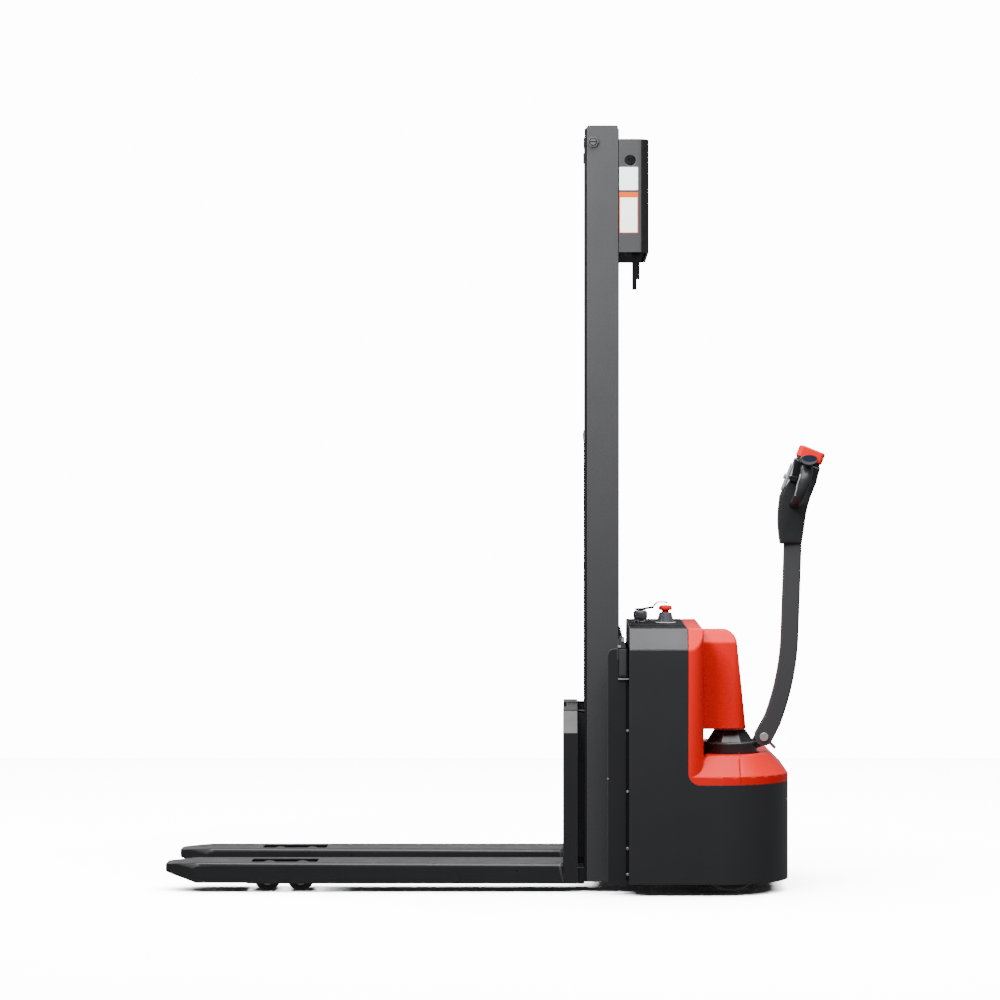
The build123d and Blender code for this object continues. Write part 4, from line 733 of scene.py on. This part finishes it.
two_wide = (-0.17, 0.25)
runs = []
for turn, shares in ((turn_number, three_wide), (other_turn, two_wide)):
    stack = add(chain_tree, "GeometryNodeJoinGeometry")
    for share in shares:
        shift = add(chain_tree, "ShaderNodeCombineXYZ", {
            "Y": times(chain_tree, given["Width"], share), "Z": half_pitch})
        moved = add(chain_tree, "GeometryNodeTransform", {
            "Geometry": stood.outputs[0], "Translation": shift.outputs[0]})
        chain_tree.links.new(moved.outputs[0], stack.inputs[0])
    runs.append(add(chain_tree, "GeometryNodeInstanceOnPoints", {
        "Points": pins.outputs["Points"], "Selection": turn, "Instance": stack.outputs[0],
        "Rotation": turned.outputs[0]}).outputs[0])
pin = add(chain_tree, "GeometryNodeMeshCylinder", {
    "Vertices": 10, "Radius": times(chain_tree, given["Plate height"], 0.26), "Depth": given["Width"]})
laid = add(chain_tree, "GeometryNodeTransform", {"Geometry": pin.outputs["Mesh"], "Rotation": on_side})
runs.append(add(chain_tree, "GeometryNodeInstanceOnPoints", {
    "Points": pins.outputs["Points"], "Instance": laid.outputs[0], "Rotation": turned.outputs[0]}).outputs[0])
end_tree(chain_tree, given, runs)


def grown(name, tree, identifiers, points, sizes, material, edges=(), facings=()):
    """Run a node tree over points or a path, and keep what it makes as a plain mesh."""
    mesh = bpy.data.meshes.new(name)
    mesh.from_pydata(points, edges, [])
    if facings:
        layer = mesh.attributes.new("facing", "FLOAT_VECTOR", "POINT")
        layer.data.foreach_set("vector", [value for facing in facings for value in facing])
    piece = bpy.data.objects.new(name, mesh)
    scene.collection.objects.link(piece)
    modifier = piece.modifiers.new(name, "NODES")
    modifier.node_group = tree
    for size, value in sizes.items():
        modifier[identifiers[size]] = value
    modifier[identifiers["Finish"]] = material
    bpy.context.view_layer.update()
    made = bpy.data.meshes.new_from_object(piece.evaluated_get(bpy.context.evaluated_depsgraph_get()))
    piece.modifiers.clear()
    piece.data = made
    made.polygons.foreach_set("use_smooth", [True] * len(made.polygons))
    made.set_sharp_from_angle(angle=radians(35))
    return piece


def screws(name, body, places, radius, height, sides=6, socket=0.5, material=zinc_plate):
    """Screw heads on a body: places are (point, facing) pairs."""
    sizes = {"Sides": sides, "Radius": radius, "Height": height, "Socket": socket}
    piece = grown(name, screw_tree, screw_sizes, [point for point, facing in places], sizes, material,
                  facings=[facing for point, facing in places])
    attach(piece, body)


def chain(name, points):
    """A length of leaf chain along points."""
    edges = [(i, i + 1) for i in range(len(points) - 1)]
    sizes = {"Pitch": 0.0095, "Plate height": 0.0078, "Plate thickness": 0.0019, "Width": 0.0156}
    piece = grown(name, chain_tree, chain_sizes, points, sizes, chain_steel, edges=edges)
    return piece


# Lift chain: on the truck the front run shortens as the carriage comes up to the sheave and the rear run
# lengthens; here the front run rides on the carriage, the run over the sheave rides on the piston and the
# rear run stays still

front_low, front_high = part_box("front_chain")
rear_low, rear_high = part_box("rear_chain")
front_x = (front_low[0] + front_high[0]) / 2
rear_x = (rear_low[0] + rear_high[0]) / 2
sheave_z = front_high[2]

front_run = chain("front_chain_links", [(front_x, 0, front_low[2]), (front_x, 0, sheave_z)])
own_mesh(front_run)
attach(front_run, "carriage")
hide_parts("front_chain")

rear_run = chain("rear_chain_links", [(rear_x, 0, rear_low[2]), (rear_x, 0, sheave_z)])
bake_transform(rear_run)
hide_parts("rear_chain")

middle_x = (front_x + rear_x) / 2
pitch_r = (rear_x - front_x) / 2
half_turn = [pi * i / 24 for i in range(25)]
over = chain("sheave_chain_links", [(middle_x - pitch_r * cos(angle), 0, sheave_z + pitch_r * sin(angle))
                                    for angle in half_turn])
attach(over, "piston")
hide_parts("chain_over_sheave")


# Mast: slotted ends in the stop nuts over black discs of painted shade in their hollows, side plates,
# buffers, blank plates and a black plate of painted shade inside the head

def disc_part(radius, low, high):
    """The outline of a disc's part between two angles in degrees."""
    steps = 14
    angles = [radians(low + (high - low) * k / steps) for k in range(steps + 1)]
    return [(radius * cos(angle), radius * sin(angle)) for angle in angles]


nut_low, nut_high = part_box("carriage_stop_bolts")
nut_x = (nut_low[0] + nut_high[0]) / 2
nut_z = (nut_low[2] + nut_high[2]) / 2
hollow_r = 0.0112
bolt_r = 0.0086
slotted = []
hollows = []
for face_y, right in ((nut_low[1], 1), (nut_high[1], -1)):
    face_at = (nut_x, face_y, nut_z)
    hollows.append(lathe([(hollow_r, -0.001), (hollow_r, 0.0002), (0.0, 0.0002)], face_at, (0, -right, 0)))
    for low, high in ((12, 168), (192, 348)):
        slotted.append(slab(disc_part(bolt_r, low, high), face_at, (right, 0, 0), thick=0.0018))
# A black disc in each nut's hollow round the bolt end: painted shade in the recess.
as_piece("stop_nut_hollows", merged(*hollows), "chassis", grease_and_painted_shade, "bright_steel")
rounded_piece("stop_bolt_ends", merged(*slotted), 0.0004, "chassis", die_cast, "bright_steel")

mast_low, mast_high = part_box("left_upright")
mast_front = mast_low[0]
mast_side = 0.275
# The side plates stop short of the uprights' front and rear edges, so the black there is painted shade of the
# mast's corners.
front_lip = 0.0075
rear_lip = 0.0030
end_gap = 0.0003
plate_x = (mast_front + front_lip + mast_high[0] - rear_lip) / 2
plate_z = (mast_low[2] + mast_high[2]) / 2
plate_wide = mast_high[0] - mast_front - (front_lip + rear_lip)
plate_tall = mast_high[2] - mast_low[2] - 2 * end_gap
buffer_y = 0.2645
buffer_z = 2.161
plates = []
buffers = []
for out in (-1, 1):
    plate_at = (plate_x, out * mast_side, plate_z)
    plates.append(slab(rounded(plate_wide, plate_tall, 0.004), plate_at, (-out, 0, 0), thick=0.0024))
    buffer_at = (mast_front, out * buffer_y, buffer_z)
    buffers.append(slab(rounded(0.012, 0.032, 0.005), buffer_at, (0, -1, 0), thick=0.0028))
rounded_piece("mast_side_plates", merged(*plates), 0.0008, "chassis", mast_coat, "mast_paint")
rounded_piece("mast_buffers", merged(*buffers), 0.0008, "chassis", latch_rubber, "black_plastic")

# Each blank plate: its width, height and corner, its middle along and up, its thickness and its coat
head_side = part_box("mast_head")[0][1]
for name, size, x, z, thick, coat in (
        ("upper_blank_plate", (0.0534, 0.0663, 0.002), 0.3852, 2.0571, 0.0007, white_plate),
        ("banded_plate_rim", (0.0538, 0.1180, 0.002), 0.3854, 1.9590, 0.0006, orange_plate),
        ("banded_plate_field", (0.0490, 0.1000, 0.001), 0.3854, 1.9522, 0.0009, white_plate)):
    plate = slab(rounded(*size), (x, head_side, z), (1, 0, 0), thick)
    as_piece(name, plate, "chassis", coat, "bright_steel")

# A black plate across the middle of the head: painted shade of the head's inside.
shade_plate_at = (0.3990, 0.002, 2.1200)
shade_plate = slab(rounded(0.0780, 0.0900, 0.004), shade_plate_at, (1, 0, 0), thick=0.004)
rounded_piece("mast_head_shade_plate", shade_plate, 0.0008, "chassis", grease_and_painted_shade, "mast_paint")

# Limit switch under the tie: a case with a stepped feeler, and the nuts that hold it
switch_low, switch_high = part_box("limit_switch")
switch_at = (0.4075, switch_high[1], switch_high[2])
stepped = [(-0.0110, 0.0325), (-0.0110, -0.0720), (0.0020, -0.0720), (0.0020, -0.0420), (0.0110, -0.0420),
           (0.0110, 0.0325)]
case = slab(stepped, switch_at, (1, 0, 0), thick=switch_high[1] - switch_low[1])
rounded_piece("limit_switch_form", case, 0.0012, "chassis", gloss_black, "black_plastic", "limit_switch")
tie_side = 0.269
switch_nuts = [((0.4135, out * tie_side, 1.8540), (0, out, 0)) for out in (-1, 1)]
screws("switch_nuts", "chassis", switch_nuts, radius=0.0055, height=0.0045, material=die_cast)


# Dash: key switch barrel with a bright collar, key ring, charge gauge, and the mushroom stop knob

key_low, key_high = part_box("key_switch")
key_at = ((key_low[0] + key_high[0]) / 2, 0, key_low[2])
flange = lathe([(0.0219, 0), (0.0219, 0.003), (0.0200, 0.005), (0.0160, 0.0052)], key_at)
as_piece("key_switch_flange", flange, "chassis", black_abs, "black_plastic", "key_switch")
collar = lathe([(0.0165, 0.004), (0.0172, 0.0055), (0.0172, 0.0088), (0.0160, 0.0100)], key_at)
as_piece("key_switch_collar", collar, "chassis", hard_chrome, "chromed_steel")
barrel = lathe([(0.0150, 0.0095), (0.0196, 0.0115), (0.0208, 0.0160), (0.0210, 0.0260), (0.0200, 0.0318),
                (0.0170, 0.0352), (0.0, 0.0358)], key_at)
as_piece("key_switch_barrel", barrel, "chassis", die_cast, "grey_plastic")

ring = wire([(0.4605, 0.000, 0.8138), (0.4690, 0.001, 0.8245), (0.4820, 0.001, 0.8295),
             (0.4940, -0.001, 0.8288), (0.5030, -0.006, 0.8255), (0.5040, -0.012, 0.8235),
             (0.4950, -0.015, 0.8245), (0.4820, -0.012, 0.8255), (0.4690, -0.006, 0.8215),
             (0.4610, -0.002, 0.8110)], 0.0014, closed=True)
as_piece("key_ring", ring, "key", chain_steel, "bright_steel", smooth=60)

dash_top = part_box("dash_panel")[1][2]
wedge = [(-0.016, 0), (0.016, 0), (0.013, 0.007), (-0.009, 0.013)]
gauge = slab(wedge, (0.4535, -0.062, dash_top), (1, 0, 0), thick=0.046)
rounded_piece("charge_gauge", gauge, 0.002, "chassis", case_plastic, "black_plastic", steps=3)

stop_low, stop_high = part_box("emergency_stop_base")
stop_x = (stop_low[0] + stop_high[0]) / 2
ground = lathe([(0.0300, -0.0004), (0.0300, 0.0012), (0.0262, 0.0016), (0.0258, 0.0010)],
               (stop_x, 0, dash_top))
as_piece("stop_ground_plate", ground, "chassis", white_plate, "bright_steel")
knob_low, knob_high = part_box("emergency_stop_knob")
knob_tall = knob_high[2] - knob_low[2]
knob = lathe([(0.0094, 0), (0.0104, 0.0014), (0.0104, 0.0114), (0.0170, 0.0117), (0.0200, 0.0138),
              (0.0204, 0.0175), (0.0192, 0.0222), (0.0160, 0.0252), (0.0100, 0.0267), (0, knob_tall)],
             (stop_x, 0, knob_low[2]), steps=60)
lobes = 3
dent_from_r = 0.015
dent_depth = 0.16
for vert in knob.verts:
    arm = Vector((vert.co.x - stop_x, vert.co.y))
    if arm.length > dent_from_r:
        turn = arm.angle_signed(Vector((0, -1)))
        share = 1 - dent_depth * max(0, cos(lobes * turn)) ** 6
        vert.co.x = stop_x + arm.x * share
        vert.co.y = arm.y * share
as_piece("stop_knob_lobes", knob, "emergency_stop", red_abs, "red_plastic", "emergency_stop_knob", smooth=50)


# Latches on the chassis flanges, with their strikers, ledges and the row of screws beside the body

flange_y = abs(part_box("chassis_frame")[0][1])


def on_flange(out, outline, x, z, thick, start=0):
    """A plate on the outer face of a flange, from how far out of it the plate starts."""
    return slab(outline, (x, out * flange_y + out * start, z), (-out, 0, 0), thick)


latch_x = 0.3672
tab_out = 0.0009
strip_in = 0.0085
strip_thick = 0.0020
striker = [(-0.013, -0.030), (0.011, -0.030), (0.011, 0.010), (0.003, 0.037), (-0.006, 0.037),
           (-0.013, 0.016)]
gap_shades = []
latches = []
ledges = []
rows = []
for out in (-1, 1):
    # Black frames behind the latches and black strips beside the body: painted shade in the gaps round the
    # latches and in the seam.
    gap_shades.append(on_flange(out, rounded(0.0265, 0.0870, 0.002), 0.3682, 0.6640, 0.0020))
    latches.append(on_flange(out, rounded(0.0195, 0.0780, 0.003), latch_x, 0.6650, 0.0085))
    latches.append(on_flange(out, rounded(0.0130, 0.0150, 0.002), latch_x, 0.6380, 0.0016, start=0.0084))
    outline = striker if out < 0 else [(-u, v) for u, v in striker[::-1]]
    latches.append(on_flange(out, outline, 0.3640, 0.7040, 0.0040, start=-0.0030))
    ledges.append(on_flange(out, rounded(0.0300, 0.0034, 0.0008, 2), 0.3690, 0.6190, 0.0065))
    ledges.append(on_flange(out, rounded(0.0090, 0.0060, 0.0012, 2), 0.3575, 0.7120, 0.0022, start=tab_out))
    ledges.append(on_flange(out, rounded(0.0060, 0.0100, 0.0012, 2), 0.3665, 0.7310, 0.0022, start=tab_out))
    strip = rounded(0.0170, 0.6500, 0.001, 2)
    gap_shades.append(on_flange(out, strip, 0.3800, 0.3660, strip_thick, start=-strip_in))
    strip_face = out * flange_y - out * strip_in + out * strip_thick
    rows += [((0.3808, strip_face, z), (0, out, 0)) for z in (0.0590, 0.1330, 0.2960, 0.4703)]
rounded_piece("latch_gap_shades", merged(*gap_shades), 0.0006, "chassis", grease_and_painted_shade, "black_plastic")
rounded_piece("cover_latches", merged(*latches), 0.0010, "chassis", latch_rubber, "black_plastic",
              "flange_fittings")
rounded_piece("latch_ledges", merged(*ledges), 0.0005, "chassis", zinc_plate, "bright_steel")
screws("flange_screws", "chassis", rows, radius=0.0034, height=0.0032, sides=18, socket=0.45)
studs = [((0.3249, out * flange_y, 0.333), (0, out, 0)) for out in (-1, 1)]
screws("flange_studs", "chassis", studs, radius=0.0020, height=0.0012, sides=12, socket=0.4)


# Wheels: treads with worn shoulders, dished sides and a bearing round each axle

def turned_wheel(name, node, profile, material, slot, *stands_for):
    """A wheel on a node's axis: (radius, distance from the middle plane) from the bore out to the tread."""
    low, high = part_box(node)
    middle = [(low[i] + high[i]) / 2 for i in range(3)]
    both = [(r, -d) for r, d in profile] + [(r, d) for r, d in reversed(profile)]
    shape = lathe(both, middle, (0, 1, 0), steps=64, closed=True)
    as_piece(name, shape, body_of[node], material, slot, *stands_for, smooth=30)


load_tread = [(0.0226, 0.0400), (0.0330, 0.0410), (0.0368, 0.0418), (0.0390, 0.0405), (0.0400, 0.0365)]
load_bearing = [(0.0081, 0.0400), (0.0108, 0.0404), (0.0114, 0.0385), (0.0190, 0.0385), (0.0196, 0.0402),
                (0.0227, 0.0402)]
for node in ("left_front_load_wheel", "left_rear_load_wheel",
             "right_front_load_wheel", "right_rear_load_wheel"):
    turned_wheel(node + "_tread", node, load_tread, polyurethane, "polyurethane", node)
    turned_wheel(node + "_bearing", node, load_bearing, zinc_plate, "bright_steel")

tyre_low, tyre_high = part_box("drive_tyre")
tyre_r = (tyre_high[2] - tyre_low[2]) / 2
tyre_half = (tyre_high[1] - tyre_low[1]) / 2
drive_tread = [(0.0751, tyre_half - 0.006), (0.0800, tyre_half - 0.002), (tyre_r - 0.010, tyre_half),
               (tyre_r - 0.003, tyre_half - 0.003), (tyre_r, tyre_half - 0.010)]
turned_wheel("drive_tread", "drive_tyre", drive_tread, polyurethane, "polyurethane", "drive_tyre")


# Tiller grips: over each loop a bar on two posts, with a cap and a smoked lens at its outer end, and a
# pale trim down the front of the loop

grip_x = 0.9016
grip_z = 1.2455
grip_oval = oval(0.0245, 0.0145, 48)
bar_from = 0.0515
bar_long = 0.0965
cap_share = 0.93
cap_oval = [(cap_share * u, cap_share * v) for u, v in grip_oval]
cap_from = 0.1475
lens_oval = oval(0.0205, 0.0085, 40)
lens_from = 0.150
lens_z = 1.2500
post_profile = [(0.0085, -0.0140), (0.0085, 0.0060)]
post_x = 0.8970
post_z = 1.2345
trim_levels = (1.138, 1.150, 1.162, 1.174, 1.186, 1.198, 1.208)
level_reach = 0.005
loop_from = 0.10
outward = 0.6
forward = 0.8
for out, side in ((-1, "left"), (1, "right")):
    right = (-out, 0, 0)
    bar = slab(grip_oval, (grip_x, head_y + out * bar_from, grip_z), right, thick=bar_long)
    rounded_piece(side + "_grip_bar", bar, 0.003, "tiller", black_abs, "black_plastic",
                  steps=3, sharp=60, smooth=50)
    cap = slab(cap_oval, (grip_x, head_y + out * cap_from, grip_z), right, thick=0.0025)
    rounded_piece(side + "_grip_end", cap, 0.0010, "tiller", die_cast, "grey_plastic", sharp=60, smooth=50)
    lens = slab(lens_oval, (grip_x, head_y + out * lens_from, lens_z), right, thick=0.0012)
    rounded_piece(side + "_grip_lens", lens, 0.0005, "tiller", smoked_lens, "black_plastic")
    posts = [lathe(post_profile, (post_x, head_y + out * reach, post_z), steps=24)
             for reach in (0.0720, 0.1120)]
    as_piece(side + "_grip_posts", merged(*posts), "tiller", black_abs, "black_plastic")
    loop = [vert.co for vert in head.data.vertices if out * (vert.co.y - head_y) > loop_from]
    line = []
    for z in trim_levels:
        level = [co for co in loop if abs(co.z - z) < level_reach]
        line.append(max(level, key=lambda co: outward * out * co.y - forward * co.x))
    as_piece(side + "_loop_trim", wire(line, 0.0022), "tiller", silver_lacquer, "grey_plastic", smooth=60)


# Studio: pale paper that only the camera sees, and soft lights above, behind and close to the near side

floor_wide = 11.0
floor_deep = 9.4
bpy.ops.mesh.primitive_plane_add(size=1, location=(0, 0, 0))
floor = bpy.context.object
floor.name = "studio_floor"
floor.data.transform(Matrix.Diagonal((floor_wide, floor_deep, 1, 1)))
paper = finish("pale_studio_paper", "#f4f4f4", "#f8f8f8", patch=0.8, rough=(0.85, 0.95),
               relief=(0.01, 0.0001, 0.1), IOR=1.4)
floor.data.materials.append(paper)
floor.visible_diffuse = False
floor.visible_glossy = False
floor.visible_transmission = False
paper_only = bpy.data.collections.new("paper_only")
paper_only.objects.link(floor)

# The air is white to the camera and through the clear sheet, before any bounce, and lights the object
# only a little
white = linear("#ffffff")
fill_strength = 0.25
seen_strength = 14.0
world = bpy.data.worlds.new("studio_air")
scene.world = world
world.use_nodes = True
tree = world.node_tree
tree.nodes.clear()
seen = add(tree, "ShaderNodeLightPath")
looked_at = add(tree, "ShaderNodeMath", {
    0: seen.outputs["Is Camera Ray"], 1: seen.outputs["Is Transmission Ray"]}, operation="MAXIMUM")
bounces = add(tree, "ShaderNodeMath", {0: seen.outputs["Diffuse Depth"], 1: seen.outputs["Glossy Depth"]})
first = add(tree, "ShaderNodeMath", {0: bounces.outputs[0], 1: 0.5}, operation="LESS_THAN")
direct = add(tree, "ShaderNodeMath", {0: looked_at.outputs[0], 1: first.outputs[0]}, operation="MULTIPLY")
fill = add(tree, "ShaderNodeBackground", {"Color": white, "Strength": fill_strength})
pale = add(tree, "ShaderNodeBackground", {"Color": white, "Strength": seen_strength})
air = add(tree, "ShaderNodeMixShader", {0: direct.outputs[0], 1: fill.outputs[0], 2: pale.outputs[0]})
add(tree, "ShaderNodeOutputWorld", {"Surface": air.outputs[0]})


def softbox(name, place, aim, width, height, radiance, mirrored=True, lights=None):
    """A rectangular soft light at one place, turned towards another, as bright as its radiance says."""
    lamp = bpy.data.lights.new(name, "AREA")
    lamp.shape = "RECTANGLE"
    lamp.size = width
    lamp.size_y = height
    lamp.energy = radiance * width * height * pi
    light = bpy.data.objects.new(name, lamp)
    light.location = place
    light.rotation_euler = (Vector(aim) - Vector(place)).to_track_quat("-Z", "Y").to_euler()
    light.visible_camera = False
    light.visible_glossy = mirrored
    if lights:
        light.light_linking.receiver_collection = lights
    scene.collection.objects.link(light)


softbox("overhead_softbox", (0.2, -1.2, 4.2), (0.2, -1.2, 0), width=5.0, height=4.0, radiance=8.0)
softbox("mast_softbox", (-0.5, -1.8, 2.4), (0.35, -0.2, 2.2), width=1.0, height=0.6, radiance=52.0,
        mirrored=False)
softbox("side_softbox", (0.75, -1.35, 1.75), (0.68, -0.4, 0.65), width=0.8, height=0.6, radiance=4.0,
        mirrored=False)
softbox("rear_softbox", (0.0, 3.2, 3.7), (0.2, 0.0, 1.3), width=4.6, height=1.8, radiance=3.0)
softbox("low_softbox", (-0.2, 4.0, 0.50), (-0.2, 0.0, 0.45), width=7.0, height=0.8, radiance=0.35)
softbox("paper_softbox", (0.0, 0.8, 5.0), (0.0, 0.8, 0), width=16.0, height=13.0, radiance=20.0,
        mirrored=False, lights=paper_only)

# Camera at the photograph's angle: level, looking along +Y, with the horizon above the middle
lens = bpy.data.cameras.new("side_view")
lens.sensor_width = 36.0
lens.lens = 132.66
lens.shift_x = -0.075
lens.shift_y = -0.028
camera = bpy.data.objects.new("side_view", lens)
camera.location = (0.2305, -10.9, 1.211)
camera.rotation_euler = (pi / 2, 0, 0)
scene.collection.objects.link(camera)
scene.camera = camera
